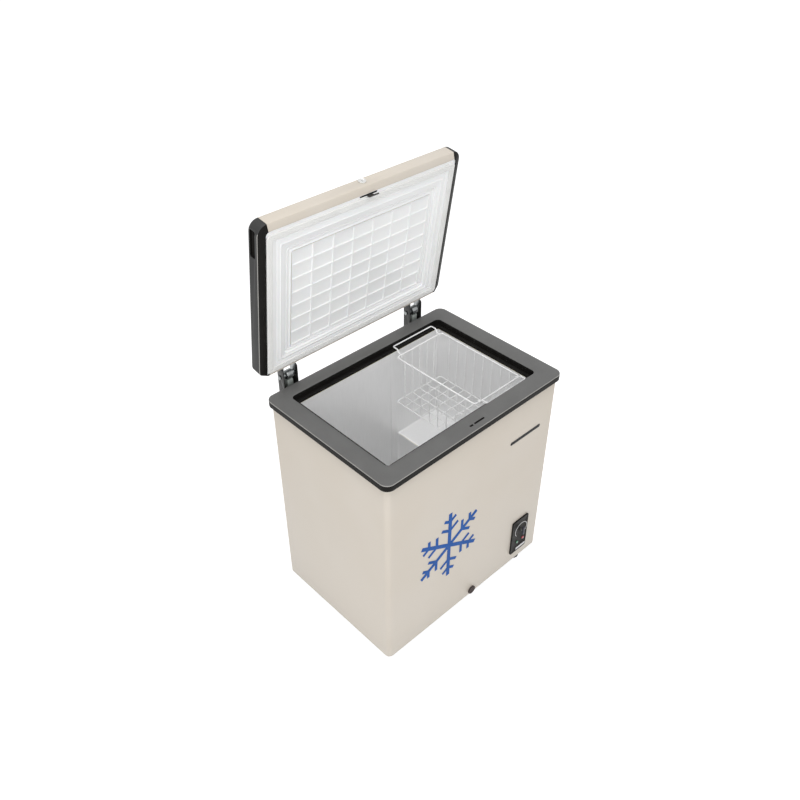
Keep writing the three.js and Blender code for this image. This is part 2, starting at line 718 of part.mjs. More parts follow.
// ---------- lid ----------
// The lid's outer form, drawn `inset` inside its surface: a slab with rounded plan corners,
// bevelled lower edges at the front and sides, and rounded upper edges.
function lidBlank(inset) {
  const low = lidBase + lidLip + inset;
  const high = lidTop - inset;
  const radius = Math.max(lidRound - inset, 1);
  const half = lidHalf - inset;
  const front = lidFront + inset;
  const rear = lidRear - inset;
  const shift = 0.2 * inset;
  const rise = 0.68 * inset;
  const shoulder = lidBase + lidLip + lidBevelRise + rise;
  const plan = roundedPlan(-half, half, front, rear, lidFrontCorner - inset, lidRearCorner - inset);
  const across = new THREE.Shape();
  across.moveTo(-lidHalf + lidBevelSide + shift, low);
  across.lineTo(lidHalf - lidBevelSide - shift, low);
  across.lineTo(half, shoulder);
  across.absarc(half - radius, high - radius, radius, 0, Math.PI / 2);
  across.absarc(-half + radius, high - radius, radius, Math.PI / 2, Math.PI);
  across.lineTo(-half, shoulder);
  across.closePath();
  const along = new THREE.Shape();
  along.moveTo(lidFront + lidBevelFront + shift, low);
  along.lineTo(rear, low);
  along.absarc(rear - radius, high - radius, radius, 0, Math.PI / 2);
  along.absarc(front + radius, high - radius, radius, Math.PI / 2, Math.PI);
  along.lineTo(front, shoulder);
  along.closePath();
  return prismZ(plan, low - 1, high + 1)
    .intersect(prismY(across, front - 1, rear + 1, 3))
    .intersect(prismX(along, -half - 1, half + 1, 3));
}

const mouthFront = lidFront + lidBevelFront + gap;
const mouthRear = lidRear - capWall;
const mouthHalf = lidHalf - lidBevelSide;
const mouth = block(-mouthHalf, mouthHalf, mouthFront, mouthRear, lidBase - 5, lidBase + 5);
const lockZ = lidTop - lockDrop;

const blank = lidBlank(0);
placeOnLid('lid_skin', cut(
  blank.subtract(lidBlank(skinWall)).intersect(
    block(-seamX, seamX, lidFront - 1, lidRear + 1, lidBase, lidTop + 1)),
  mouth,
  barY(0, lockZ, lockRadius + gap, lidFront - 2, lidFront + 5, 28),
), beige, 0.45);

const capBlank = blank.subtract(lidBlank(capWall));
const gripFront = lidFront + 16;
const gripLow = lidBase + 15;
[['left', -1], ['right', 1]].forEach(([name, side]) => {
  const [outerLow, outerHigh] = mirrored(side, seamX + gap, lidHalf + 1);
  const [pocketLow, pocketHigh] = mirrored(side, lidHalf - gripDepth - 2, lidHalf - 0.01);
  const [gripInner, gripOuter] = mirrored(side, lidHalf - gripDepth, lidHalf + 2);
  const pocket = block(pocketLow, pocketHigh, gripFront - 2, gripFront + gripLength + 2,
    gripLow - 2, gripLow + gripHeight + 2);
  placeOnLid(`lid_end_cap_${name}`, cut(
    join(
      capBlank.intersect(block(outerLow, outerHigh, lidFront - 1, lidRear + 1, lidBase, lidTop + 1)),
      pocket.intersect(blank),
    ),
    mouth,
    block(gripInner, gripOuter, gripFront, gripFront + gripLength, gripLow, gripLow + gripHeight),
  ), charcoal, 0.5);
});

// Liner sheet with a dished middle, stiffening ribs in the dish.
const flangeLow = lidBase + gasketThickness + gap;
const flangeHigh = flangeLow + lidLinerWall;
const dishFront = lidFront + 74;
const dishRear = lidRear - 42;
const dishTop = flangeHigh + dishDepth;
const dishShell = block(-dishHalf - lidLinerWall, dishHalf + lidLinerWall, dishFront - lidLinerWall,
  dishRear + lidLinerWall, flangeLow, dishTop);
const ribs = [];
const ribPitchY = (dishRear - dishFront) / ribRows;
const ribPitchX = 2 * dishHalf / ribColumns;
for (let row = 1; row < ribRows; row += 1) {
  const y = dishFront + row * ribPitchY;
  ribs.push(block(-dishHalf - 1, dishHalf + 1, y - 1.5, y + 1.5, dishTop - lidLinerWall - 2, dishTop - 1));
}
for (let column = 1; column < ribColumns; column += 1) {
  const x = -dishHalf + column * ribPitchX;
  ribs.push(block(x - 1.5, x + 1.5, dishFront - 1, dishRear + 1, dishTop - lidLinerWall - 1.5, dishTop - 1));
}
const hookSlot = block(-25, 34, lockSlotY - 2.5, lockSlotY + 2.5, lidBase - 1, flangeHigh + 1);
const linerSheet = cut(
  join(
    block(-mouthHalf + gap, mouthHalf - gap, mouthFront + gap, mouthRear - gap, flangeLow, flangeHigh),
    dishShell,
  ),
  block(-dishHalf, dishHalf, dishFront, dishRear, flangeLow - 1, dishTop - lidLinerWall),
);
placeOnLid('lid_liner', cut(join(linerSheet, ...ribs), hookSlot), white, 0.4);

const gasketHalf = mouthHalf - 2;
const gasketFront = lidFront + 27;
const gasketRear = lidRear - 4;
placeOnLid('lid_gasket', cut(
  prismZ(roundedPlan(-gasketHalf, gasketHalf, gasketFront, gasketRear, 6), lidBase, lidBase + gasketThickness),
  prismZ(roundedPlan(-gasketHalf + gasketWidth, gasketHalf - gasketWidth, gasketFront + gasketWidth,
    gasketRear - gasketWidth, 3), lidBase - 1, lidBase + gasketThickness + 1),
), 0xdedede, 0.7);

// ---------- lock ----------
const housingFront = lidFront + 4;
const housingRear = lidFront + 30;
const housingLow = flangeHigh + gap;
const housingHigh = lidTop - housingRoof;
const housing = (grow) => block(-30 - grow, 40 + grow, housingFront - grow, housingRear + grow,
  housingLow - grow, housingHigh + grow);
const hookHalf = 1.2;
placeOnLid('lock_housing', cut(
  housing(0),
  barY(0, lockZ, lockRadius + gap, housingFront - 1, lockSlotY - 2.4, 28),
  block(-9, 36, lockSlotY - 2.7, lockSlotY + 2.7, housingLow - 1, lockZ + 4),
  block(-30 - 1, 40 + 1, housingFront - 1, lidFront + lidBevelFront + 3, housingLow - 1, housingLow + 8),
), 0x8a8a8a, 0.5, 0.3);

placeOnLid('lock_cylinder', cut(
  join(
    barY(0, lockZ, lockRadius, lidFront - 1.6, lockSlotY - 3.2, 28),
    barY(0, lockZ, lockRadius + 1.6, lidFront - 2.2, lidFront - gap, 28),
  ),
  block(-0.9, 0.9, lidFront - 4, lidFront + 6, lockZ - 4.5, lockZ + 4.5),
), 0xd8d8d6, 0.3, 0.8);

const hookSide = new THREE.Shape();
hookSide.moveTo(-6, lockZ);
hookSide.lineTo(-6, collarTop - 6);
hookSide.lineTo(-4, collarTop - 8);
hookSide.lineTo(24, collarTop - 8);
hookSide.lineTo(24, collarTop - 5.5);
hookSide.lineTo(10, collarTop - 5.2);
hookSide.lineTo(10, lockZ);
hookSide.closePath();
placeOnLid('lock_hook', prismY(hookSide, lockSlotY - hookHalf, lockSlotY + hookHalf), 0x3c3c3c, 0.4, 0.7);

placeOnLid('lid_foam', cut(
  lidBlank(capWall + gap + 0.1),
  block(-lidHalf, lidHalf, lidFront - 1, lidRear + 1, lidBase, flangeHigh + gap)
    .intersect(block(-mouthHalf - 1, mouthHalf + 1, mouthFront - 3, lidRear + 1, lidBase, lidTop)),
  block(-dishHalf - lidLinerWall - gap, dishHalf + lidLinerWall + gap, dishFront - lidLinerWall - gap,
    dishRear + lidLinerWall + gap, lidBase, dishTop + gap),
  housing(gap),
  barY(0, lockZ, lockRadius + gap, lidFront - 2, housingFront + 1, 28),
  ...[-1, 1].map((side) => {
    const [low, high] = mirrored(side, lidHalf - gripDepth - 2 - gap, lidHalf);
    return block(low, high, gripFront - 2 - gap, gripFront + gripLength + 2 + gap,
      gripLow - 2 - gap, gripLow + gripHeight + 2 + gap);
  }),
), foamColor, 0.9);

// ---------- wire basket ----------
function ringWires(z, size) {
  const reach = size / 2;
  return join(
    block(basketLeft - reach, basketRight + reach, basketFront - reach, basketFront + reach, z - reach, z + reach),
    block(basketLeft - reach, basketRight + reach, basketRear - reach, basketRear + reach, z - reach, z + reach),
    block(basketLeft - reach, basketLeft + reach, basketFront, basketRear, z - reach, z + reach),
    block(basketRight - reach, basketRight + reach, basketFront, basketRear, z - reach, z + reach),
  );
}

function spread(low, high, pitch) {
  const count = Math.round((high - low) / pitch);
  return Array.from({ length: count - 1 }, (_, i) => low + (high - low) * (i + 1) / count);
}

// Floor wires along Y lie a little above those along X, so that they cross as welded wires do.
const half = meshWire / 2;
const weld = 0.4;
const wires = [];
function upright(x, y) {
  wires.push(block(x - half, x + half, y - half, y + half, basketBase - weld, basketRim + weld));
}
for (const x of spread(basketLeft, basketRight, wireSpacing)) {
  upright(x, basketFront + weld);
  upright(x, basketRear - weld);
  wires.push(block(x - half, x + half, basketFront, basketRear, basketBase - half + weld, basketBase + half + weld));
}
for (const y of spread(basketFront, basketRear, wireSpacing)) {
  upright(basketLeft + weld, y);
  upright(basketRight - weld, y);
  wires.push(block(basketLeft, basketRight, y - half, y + half, basketBase - half - weld, basketBase + half - weld));
}
for (const x of [basketLeft + weld, basketRight - weld]) {
  for (const y of [basketFront + weld, basketRear - weld]) {
    upright(x, y);
  }
}
place(cabinet, 'basket', join(
  ringWires(basketRim, rimWire),
  ringWires(basketBase, meshWire),
  ...wires,
), 0xd0d0d0, 0.4, 0.3);

// Each handle is a loop of wire with an eye at both ends that turns on the basket's rim.
[
  ['front', basketFront, handleFront, -1],
  ['rear', basketRear, handleRear, 1],
].forEach(([name, rimY, farY, way]) => {
  const eyeInset = 13;
  const leftX = basketLeft + eyeInset;
  const rightX = basketRight - eyeInset;
  const farZ = ledgeTop + handleLift;
  const loop = roundedPath([
    at(leftX, rimY + way * 4, basketRim + 3),
    at(leftX, rimY + way * 12, farZ),
    at(leftX, farY, farZ),
    at(rightX, farY, farZ),
    at(rightX, rimY + way * 12, farZ),
    at(rightX, rimY + way * 4, basketRim + 3),
  ], 12);
  const eyes = [leftX, rightX].map((x) => barX(rimY, basketRim, handleBore + 2.3, x - 2.5, x + 2.5, 16));
  const bores = [leftX, rightX].map((x) => barX(rimY, basketRim, handleBore, x - 4, x + 4, 16));
  place(cabinet, `basket_handle_${name}`, cut(join(wire(loop, handleRadius, 24, 6), ...eyes), ...bores),
    0xd0d0d0, 0.4, 0.3);
});

// The part's origin is on the floor, under the middle of its bounding box.
freezer.updateMatrixWorld(true);
const extent = new THREE.Box3().setFromObject(freezer, true);
const middle = extent.getCenter(new THREE.Vector3());
freezer.position.set(-middle.x, -middle.y, -extent.min.z);

export default freezer;
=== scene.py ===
"""A small chest freezer standing open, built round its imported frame. Metres, +Z up, the front faces -Y."""
import json
import math

import bmesh
import bpy
from mathutils import Matrix, Vector


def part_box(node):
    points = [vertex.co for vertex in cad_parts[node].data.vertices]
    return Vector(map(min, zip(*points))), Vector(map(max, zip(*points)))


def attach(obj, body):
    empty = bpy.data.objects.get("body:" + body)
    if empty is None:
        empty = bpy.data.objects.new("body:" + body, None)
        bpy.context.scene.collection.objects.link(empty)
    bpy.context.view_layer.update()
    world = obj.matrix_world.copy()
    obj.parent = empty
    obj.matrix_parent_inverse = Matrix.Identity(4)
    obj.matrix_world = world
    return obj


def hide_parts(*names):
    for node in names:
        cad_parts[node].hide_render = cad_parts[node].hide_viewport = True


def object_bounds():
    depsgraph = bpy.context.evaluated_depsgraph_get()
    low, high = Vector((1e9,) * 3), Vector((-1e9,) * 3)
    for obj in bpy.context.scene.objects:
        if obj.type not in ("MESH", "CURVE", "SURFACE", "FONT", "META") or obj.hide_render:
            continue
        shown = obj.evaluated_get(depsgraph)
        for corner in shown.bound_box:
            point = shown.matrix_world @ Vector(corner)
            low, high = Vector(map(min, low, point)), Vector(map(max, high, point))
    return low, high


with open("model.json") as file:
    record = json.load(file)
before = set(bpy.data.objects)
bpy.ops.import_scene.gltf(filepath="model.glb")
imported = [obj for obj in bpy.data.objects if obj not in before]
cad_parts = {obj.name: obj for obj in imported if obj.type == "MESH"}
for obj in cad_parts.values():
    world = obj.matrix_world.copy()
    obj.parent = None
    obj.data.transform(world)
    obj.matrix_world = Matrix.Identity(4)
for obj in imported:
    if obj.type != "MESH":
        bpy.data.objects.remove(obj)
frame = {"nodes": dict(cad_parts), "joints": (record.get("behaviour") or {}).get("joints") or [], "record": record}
cad_low, cad_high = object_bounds()
bpy.ops.object.select_all(action="DESELECT")

MM = 0.001
QUARTER = math.pi / 2


# ---------- nodes and finishes ----------

def linear(hex_colour):
    """An sRGB colour, written #rrggbb, as linear red, green, blue and alpha."""
    channels = [int(hex_colour[i:i + 2], 16) / 255 for i in (1, 3, 5)]
    return [c / 12.92 if c <= 0.04045 else ((c + 0.055) / 1.055) ** 2.4 for c in channels] + [1]


def per(size_mm):
    """Texture scale at which one cell of a pattern is this many millimetres across."""
    return 1 / (size_mm * MM)


def add(tree, kind, inputs=None, links=None, **settings):
    """One node, with its settings, the values of its sockets, and the links into it."""
    node = tree.nodes.new(kind)
    for key, value in settings.items():
        setattr(node, key, value)
    for socket, value in (inputs or {}).items():
        node.inputs[socket].default_value = value
    for socket, source in (links or {}).items():
        tree.links.new(source, node.inputs[socket])
    return node


def finish(name, colour, roughness, metallic=0.0, **extra):
    """A material with its shader and the object's own coordinates, ready for its pattern."""
    material = bpy.data.materials.new(name)
    material.use_nodes = True
    material.diffuse_color = linear(colour)
    tree = material.node_tree
    tree.nodes.clear()
    values = {"Base Color": linear(colour), "Roughness": roughness, "Metallic": metallic}
    values.update(extra)
    shader = add(tree, "ShaderNodeBsdfPrincipled", values)
    add(tree, "ShaderNodeOutputMaterial", links={"Surface": shader.outputs["BSDF"]})
    place = add(tree, "ShaderNodeTexCoord").outputs["Object"]
    return material, tree, shader, place


def drive(tree, shader, mask, colours=None, sheen=None, relief=None, spread=(0.3, 0.7)):
    """One mask drives the colour (dark, light), the roughness (smooth, rough) or the relief (mm deep, strength)."""
    if colours:
        level = add(tree, "ShaderNodeMapRange", {"From Min": spread[0], "From Max": spread[1]}, {"Value": mask})
        mix = add(tree, "ShaderNodeMix", {"A": linear(colours[0]), "B": linear(colours[1])},
                  {"Factor": level.outputs["Result"]}, data_type="RGBA")
        tree.links.new(mix.outputs["Result"], shader.inputs["Base Color"])
    if sheen:
        level = add(tree, "ShaderNodeMapRange", {"From Min": spread[0], "From Max": spread[1], "To Min": sheen[0],
                                                 "To Max": sheen[1]}, {"Value": mask})
        tree.links.new(level.outputs["Result"], shader.inputs["Roughness"])
    if relief:
        bump = add(tree, "ShaderNodeBump", {"Distance": relief[0] * MM, "Strength": relief[1]}, {"Height": mask})
        tree.links.new(bump.outputs["Normal"], shader.inputs["Normal"])


def powder_coated_steel():
    # Baked powder coat: satin, with a faint orange peel about 2 mm across and an even, warm beige.
    material, tree, shader, place = finish("powder_coated_steel", "#D2C9BD", 0.42)
    drift = add(tree, "ShaderNodeTexNoise", {"Scale": per(220), "Detail": 2.0}, {"Vector": place})
    drive(tree, shader, drift.outputs["Fac"], colours=("#D0C7BA", "#D4CCC1"), sheen=(0.38, 0.46))
    peel = add(tree, "ShaderNodeTexNoise", {"Scale": per(2.2), "Detail": 1.0}, {"Vector": place})
    drive(tree, shader, peel.outputs["Fac"], relief=(0.02, 0.5))
    return material


def galvanised_sheet():
    # Hot-dip galvanised steel: grey, with zinc spangle of about 9 mm that catches the light differently.
    material, tree, shader, place = finish("galvanised_sheet", "#A3A6A8", 0.4, 0.9)
    spangle = add(tree, "ShaderNodeTexVoronoi", {"Scale": per(9)}, {"Vector": place})
    grey = add(tree, "ShaderNodeRGBToBW", links={"Color": spangle.outputs["Color"]})
    drive(tree, shader, grey.outputs["Val"], colours=("#8F9395", "#B4B7B8"), sheen=(0.3, 0.5))
    drive(tree, shader, spangle.outputs["Distance"], relief=(0.03, 0.4))
    return material


def rolled_aluminium():
    # Bright mill-finish aluminium sheet: vertical rolling lines about 1 mm apart blur what it reflects.
    material, tree, shader, place = finish("rolled_aluminium", "#F2F2F2", 0.4, 0.5)
    stretched = add(tree, "ShaderNodeMapping", {"Scale": (1, 1, 0.02)}, {"Vector": place})
    lines = add(tree, "ShaderNodeTexNoise", {"Scale": per(1.2), "Detail": 3.0}, {"Vector": stretched.outputs["Vector"]})
    cloud = add(tree, "ShaderNodeTexNoise", {"Scale": per(90), "Detail": 2.0}, {"Vector": place})
    drive(tree, shader, lines.outputs["Fac"], colours=("#EFEFEF", "#F7F7F7"), relief=(0.01, 0.3))
    drive(tree, shader, cloud.outputs["Fac"], sheen=(0.38, 0.46))
    return material


def moulded_plastic(name, colour, dark, roughness, grain_mm, depth_mm, specular=0.5):
    """Injection-moulded plastic with a spark-eroded grain and a slight change of shade."""
    material, tree, shader, place = finish(name, colour, roughness, **{"Specular IOR Level": specular})
    drift = add(tree, "ShaderNodeTexNoise", {"Scale": per(60), "Detail": 3.0}, {"Vector": place})
    drive(tree, shader, drift.outputs["Fac"], colours=(dark, colour), sheen=(roughness - 0.05, roughness + 0.06))
    grain = add(tree, "ShaderNodeTexVoronoi", {"Scale": per(grain_mm)}, {"Vector": place})
    drive(tree, shader, grain.outputs["Distance"], relief=(depth_mm, 0.5))
    return material


def vacuum_formed_polystyrene():
    # High-impact polystyrene sheet drawn over a mould: smooth, a little glossy, milky white.
    material, tree, shader, place = finish(
        "vacuum_formed_polystyrene", "#FAFAFA", 0.32, **{"Subsurface Weight": 0.05, "Subsurface Scale": 0.002})
    drift = add(tree, "ShaderNodeTexNoise", {"Scale": per(120), "Detail": 2.0}, {"Vector": place})
    drive(tree, shader, drift.outputs["Fac"], colours=("#F7F7F7", "#FCFCFC"))
    ripple = add(tree, "ShaderNodeTexNoise", {"Scale": per(7), "Detail": 1.0}, {"Vector": place})
    drive(tree, shader, ripple.outputs["Fac"], relief=(0.04, 0.4))
    return material


def soft_vinyl():
    # Extruded PVC seal: matt, faintly ribbed along its length.
    material, tree, shader, place = finish("soft_vinyl", "#F0F0EE", 0.55)
    drift = add(tree, "ShaderNodeTexNoise", {"Scale": per(40), "Detail": 3.0}, {"Vector": place})
    drive(tree, shader, drift.outputs["Fac"], colours=("#ECECEA", "#F3F3F1"))
    pores = add(tree, "ShaderNodeTexNoise", {"Scale": per(0.9), "Detail": 2.0}, {"Vector": place})
    drive(tree, shader, pores.outputs["Fac"], relief=(0.03, 0.5))
    return material


def bright_chrome():
    # Nickel and chrome plate on the lock's zinc plug: mirror-like, with fine wear from the key.
    material, tree, shader, place = finish("bright_chrome", "#E4E4E2", 0.12, 1.0)
    scuffs = add(tree, "ShaderNodeTexNoise", {"Scale": per(1.5), "Detail": 4.0}, {"Vector": place})
    drive(tree, shader, scuffs.outputs["Fac"], colours=("#DCDCDA", "#EAEAE8"), sheen=(0.08, 0.24))
    return material


def zinc_plated_steel(name, colour, dark, rough):
    """Bright zinc plate: bluish grey with slow clouds and fine drawing marks."""
    material, tree, shader, place = finish(name, colour, rough, 0.95)
    cloud = add(tree, "ShaderNodeTexNoise", {"Scale": per(12), "Detail": 4.0}, {"Vector": place})
    drive(tree, shader, cloud.outputs["Fac"], colours=(dark, colour), sheen=(rough - 0.06, rough + 0.12))
    marks = add(tree, "ShaderNodeTexNoise", {"Scale": per(0.6), "Detail": 2.0}, {"Vector": place})
    drive(tree, shader, marks.outputs["Fac"], relief=(0.015, 0.5))
    return material


def painted_black_steel():
    # Electro-dipped black paint on pressed steel: thin and satin, a shade lighter where it has rubbed.
    material, tree, shader, place = finish("painted_black_steel", "#1C1C1B", 0.36)
    rub = add(tree, "ShaderNodeTexNoise", {"Scale": per(16), "Detail": 5.0}, {"Vector": place})
    drive(tree, shader, rub.outputs["Fac"], colours=("#181817", "#272726"), sheen=(0.28, 0.46))
    skin = add(tree, "ShaderNodeTexNoise", {"Scale": per(1.4), "Detail": 1.0}, {"Vector": place})
    drive(tree, shader, skin.outputs["Fac"], relief=(0.02, 0.4))
    return material


def coated_wire():
    # Silver-grey dip coating over drawn steel wire: slightly metallic, soft at the welds.
    material, tree, shader, place = finish("coated_wire", "#F4F4F4", 0.34, 0.05)
    flow = add(tree, "ShaderNodeTexNoise", {"Scale": per(8), "Detail": 3.0}, {"Vector": place})
    drive(tree, shader, flow.outputs["Fac"], colours=("#EDEDED", "#F8F8F8"), relief=(0.05, 0.4))
    return material


def drawn_copper():
    # Soft copper tube: warm and bright, dulled brown in patches by handling and brazing.
    material, tree, shader, place = finish("drawn_copper", "#B87148", 0.3, 1.0)
    tarnish = add(tree, "ShaderNodeTexNoise", {"Scale": per(14), "Detail": 5.0}, {"Vector": place})
    drive(tree, shader, tarnish.outputs["Fac"], colours=("#8A5235", "#C27E54"), sheen=(0.24, 0.46))
    return material


def moulded_rubber(name, colour, dark):
    """Compression-moulded rubber: matt and dark, dusty in its pores."""
    material, tree, shader, place = finish(name, colour, 0.72)
    dust = add(tree, "ShaderNodeTexNoise", {"Scale": per(6), "Detail": 5.0}, {"Vector": place})
    drive(tree, shader, dust.outputs["Fac"], colours=(dark, colour))
    pores = add(tree, "ShaderNodeTexNoise", {"Scale": per(0.7), "Detail": 2.0}, {"Vector": place})
    drive(tree, shader, pores.outputs["Fac"], relief=(0.05, 0.6))
    return material


def polyurethane_foam():
    # Rigid foam that rose between the walls: pale yellow, with cells of about 1 mm at its cut edges.
    material, tree, shader, place = finish("polyurethane_foam", "#E3D9A8", 0.9)
    cells = add(tree, "ShaderNodeTexVoronoi", {"Scale": per(1.1)}, {"Vector": place})
    drive(tree, shader, cells.outputs["Distance"], colours=("#CFC48F", "#EAE1B4"),
          relief=(0.4, 0.8), spread=(0.1, 0.6))
    return material


def printed_ink(name, colour, dark):
    """Screen-printed vinyl film: even colour, a low gloss, and the print's fine tooth."""
    material, tree, shader, place = finish(name, colour, 0.4, **{"Specular IOR Level": 0.12})
    lay = add(tree, "ShaderNodeTexNoise", {"Scale": per(30), "Detail": 3.0}, {"Vector": place})
    drive(tree, shader, lay.outputs["Fac"], colours=(dark, colour))
    tooth = add(tree, "ShaderNodeTexNoise", {"Scale": per(1.2), "Detail": 1.0}, {"Vector": place})
    drive(tree, shader, tooth.outputs["Fac"], relief=(0.01, 0.4))
    return material


def tinted_acrylic(name, colour, dark):
    """Clear-faced coloured lens: glossy, deeper in tone towards its middle."""
    material, tree, shader, place = finish(name, colour, 0.12, **{"Coat Weight": 0.6, "Coat Roughness": 0.05})
    depth = add(tree, "ShaderNodeTexNoise", {"Scale": per(5), "Detail": 2.0}, {"Vector": place})
    drive(tree, shader, depth.outputs["Fac"], colours=(dark, colour))
    facets = add(tree, "ShaderNodeTexVoronoi", {"Scale": per(1.3)}, {"Vector": place})
    drive(tree, shader, facets.outputs["Distance"], relief=(0.06, 0.4))
    return material


FINISH = {
    "painted_beige": powder_coated_steel(),
    "galvanised": galvanised_sheet(),
    "liner_aluminium": rolled_aluminium(),
    "foam": polyurethane_foam(),
    # ABS with a fine grain: mid grey, satin.
    "collar_grey": moulded_plastic("grained_grey_abs", "#686867", "#626261", 0.38, 0.8, 0.03, 0.3),
    "breaker_black": moulded_plastic("smooth_black_polypropylene", "#1C1B19", "#171615", 0.4, 1.2, 0.02, 0.08),
    "cap_charcoal": moulded_plastic("grained_charcoal_abs", "#404040", "#3B3B3B", 0.44, 0.9, 0.04, 0.15),
    "lid_white": vacuum_formed_polystyrene(),
    "gasket_white": soft_vinyl(),
    "lock_grey": moulded_plastic("dark_acetal", "#242423", "#1E1E1D", 0.42, 0.7, 0.02, 0.1),
    "lock_chrome": bright_chrome(),
    "hinge_black": painted_black_steel(),
    "bright_steel": zinc_plated_steel("bright_zinc_plate", "#A4A7A7", "#8C8F90", 0.3),
    "spring_steel": zinc_plated_steel("oiled_spring_steel", "#8F9496", "#777C7E", 0.32),
    "cup_grey": moulded_plastic("greenish_grey_nylon", "#9AA09C", "#8F9591", 0.42, 0.8, 0.02),
    "basket_wire": coated_wire(),
    "compressor_black": painted_black_steel(),
    "black_rubber": moulded_rubber("black_nitrile", "#262626", "#1D1D1D"),
    "terminal_black": moulded_plastic("black_phenolic", "#2A2A2A", "#232323", 0.42, 0.9, 0.03),
    "copper": drawn_copper(),
    "drain_grey": moulded_plastic("grey_polythene", "#8B8B86", "#82827D", 0.46, 1.0, 0.03),
    "plug_brown": moulded_rubber("brown_nitrile", "#3A2E2C", "#2E2422"),
    "panel_black": moulded_plastic("satin_black_abs", "#1C1A18", "#181614", 0.4, 0.6, 0.01, 0.06),
    "thermostat_grey": zinc_plated_steel("passivated_steel", "#B9B9B4", "#A2A29E", 0.36),
    "knob_grey": moulded_plastic("blue_grey_nylon", "#3F3F48", "#373740", 0.36, 0.7, 0.02, 0.25),
    "print_white": printed_ink("white_print", "#E9E9E9", "#E0E0E0"),
    "lens_green": tinted_acrylic("green_acrylic", "#3F7F5F", "#2F6A4C"),
    "lens_red": tinted_acrylic("red_acrylic", "#B83040", "#982434"),
    "print_blue": printed_ink("blue_print", "#0054A6", "#004E9C"),
    "print_black": printed_ink("black_print", "#1F1F22", "#19191C"),
}
# Moulded edges of the collar and the end caps: a paler, glossier coat, a painted highlight that draws a thin light
# line.
PAINTED_HIGHLIGHT_EDGE = moulded_plastic("painted_highlight_grey_abs", "#A3A19D", "#979591", 0.24, 0.8, 0.01, 0.5)
slot_of = {entry["node"]: entry["material_slot"] for entry in frame["record"]["subparts"]}
for node, thing in frame["nodes"].items():
    thing.data.materials.clear()
    thing.data.materials.append(FINISH[slot_of[node]])

# ---------- ways of working ----------

def pick(piece, *others):
    """Selects just these pieces and makes the first one active."""
    bpy.ops.object.select_all(action="DESELECT")
    for thing in (piece, *others):
        thing.select_set(True)
    bpy.context.view_layer.objects.active = piece


def wake(piece):
    """Edit mode on this piece alone."""
    pick(piece)
    bpy.ops.object.mode_set(mode="EDIT")


def rest():
    """Back to object mode."""
    bpy.ops.object.mode_set(mode="OBJECT")


def choose(piece, kind, test):
    """In edit mode, selects just the vertices, edges or faces that the test accepts."""
    bpy.ops.mesh.select_mode(type=kind)
    bpy.ops.mesh.select_all(action="DESELECT")
    shape = bmesh.from_edit_mesh(piece.data)
    items = {"VERT": shape.verts, "EDGE": shape.edges, "FACE": shape.faces}[kind]
    for item in items:
        if test(item):
            item.select_set(True)
    bmesh.update_edit_mesh(piece.data)


def runs_back(edge):
    """An edge that runs from front to back."""
    return abs((edge.verts[0].co - edge.verts[1].co).normalized().y) > 0.9


def faces_front(face):
    return face.normal.y < -0.9


def fix_place(piece):
    """Puts the piece's place, turn and scale into its mesh."""
    pick(piece)
    bpy.ops.object.transform_apply(location=True, rotation=True, scale=True)


def block(low, high):
    """A box from its lowest to its highest corner, to be shaped further."""
    low, high = Vector(low), Vector(high)
    bpy.ops.mesh.primitive_cube_add(size=1, location=(low + high) / 2, scale=high - low)
    piece = bpy.context.object
    fix_place(piece)
    return piece


def bar(start, end, radius, sides=32):
    """A round bar between two points."""
    start, end = Vector(start), Vector(end)
    turn = (end - start).to_track_quat("Z", "Y").to_euler()
    bpy.ops.mesh.primitive_cylinder_add(
        vertices=sides, radius=radius, depth=(end - start).length, location=(start + end) / 2, rotation=turn)
    piece = bpy.context.object
    fix_place(piece)
    return piece


def apply(piece, kind, **settings):
    """Adds a modifier with its settings and applies it."""
    modifier = piece.modifiers.new(kind.lower(), kind)
    for key, value in settings.items():
        setattr(modifier, key, value)
    pick(piece)
    bpy.ops.object.modifier_apply(modifier=modifier.name)
    return piece


def soften(piece, width_mm, segments=3, angle=35):
    """Rounds every edge that is sharper than the angle."""
    return apply(piece, "BEVEL", width=width_mm * MM, segments=segments, limit_method="ANGLE",
                 angle_limit=math.radians(angle), use_clamp_overlap=True)


def combine(piece, operation, others):
    """Boolean of the piece with each of the others, which are used up."""
    for other in others:
        apply(piece, "BOOLEAN", operation=operation, object=other, solver="EXACT")
        bpy.data.objects.remove(other)
    return piece


def carve(piece, *cutters):
    """Cuts the cutters' shapes out of the piece."""
    return combine(piece, "DIFFERENCE", cutters)


def fuse(piece, *others):
    """Makes one solid of the piece and the others."""
    return combine(piece, "UNION", others)


def merge(first, *others):
    """Joins pieces into one object."""
    pick(first, *others)
    bpy.ops.object.join()
    return first


def face_outwards(piece):
    """Welds doubled vertices and turns every face's normal outwards."""
    wake(piece)
    bpy.ops.mesh.select_all(action="SELECT")
    bpy.ops.mesh.remove_doubles(threshold=1e-6)
    bpy.ops.mesh.normals_make_consistent(inside=False)
    rest()
    return piece


def plan_ring(x0, x1, y0, y1, z, front_corner, rear_corner, steps):
    """A flat ring of vertices: a rectangle in plan whose corners are rounded."""
    bpy.ops.mesh.primitive_plane_add(size=1, location=((x0 + x1) / 2, (y0 + y1) / 2, z))
    ring = bpy.context.object
    ring.scale = (x1 - x0, y1 - y0, 1)
    fix_place(ring)
    wake(ring)
    choose(ring, "VERT", lambda v: v.co.y < y0 + 1e-6)
    bpy.ops.mesh.bevel(offset=max(front_corner, 2e-4), segments=steps, affect="VERTICES")
    choose(ring, "VERT", lambda v: v.co.y > y1 - 1e-6)
    bpy.ops.mesh.bevel(offset=max(rear_corner, 2e-4), segments=steps, affect="VERTICES")
    bpy.ops.mesh.select_all(action="SELECT")
    bpy.ops.mesh.delete(type="ONLY_FACE")
    rest()
    return ring


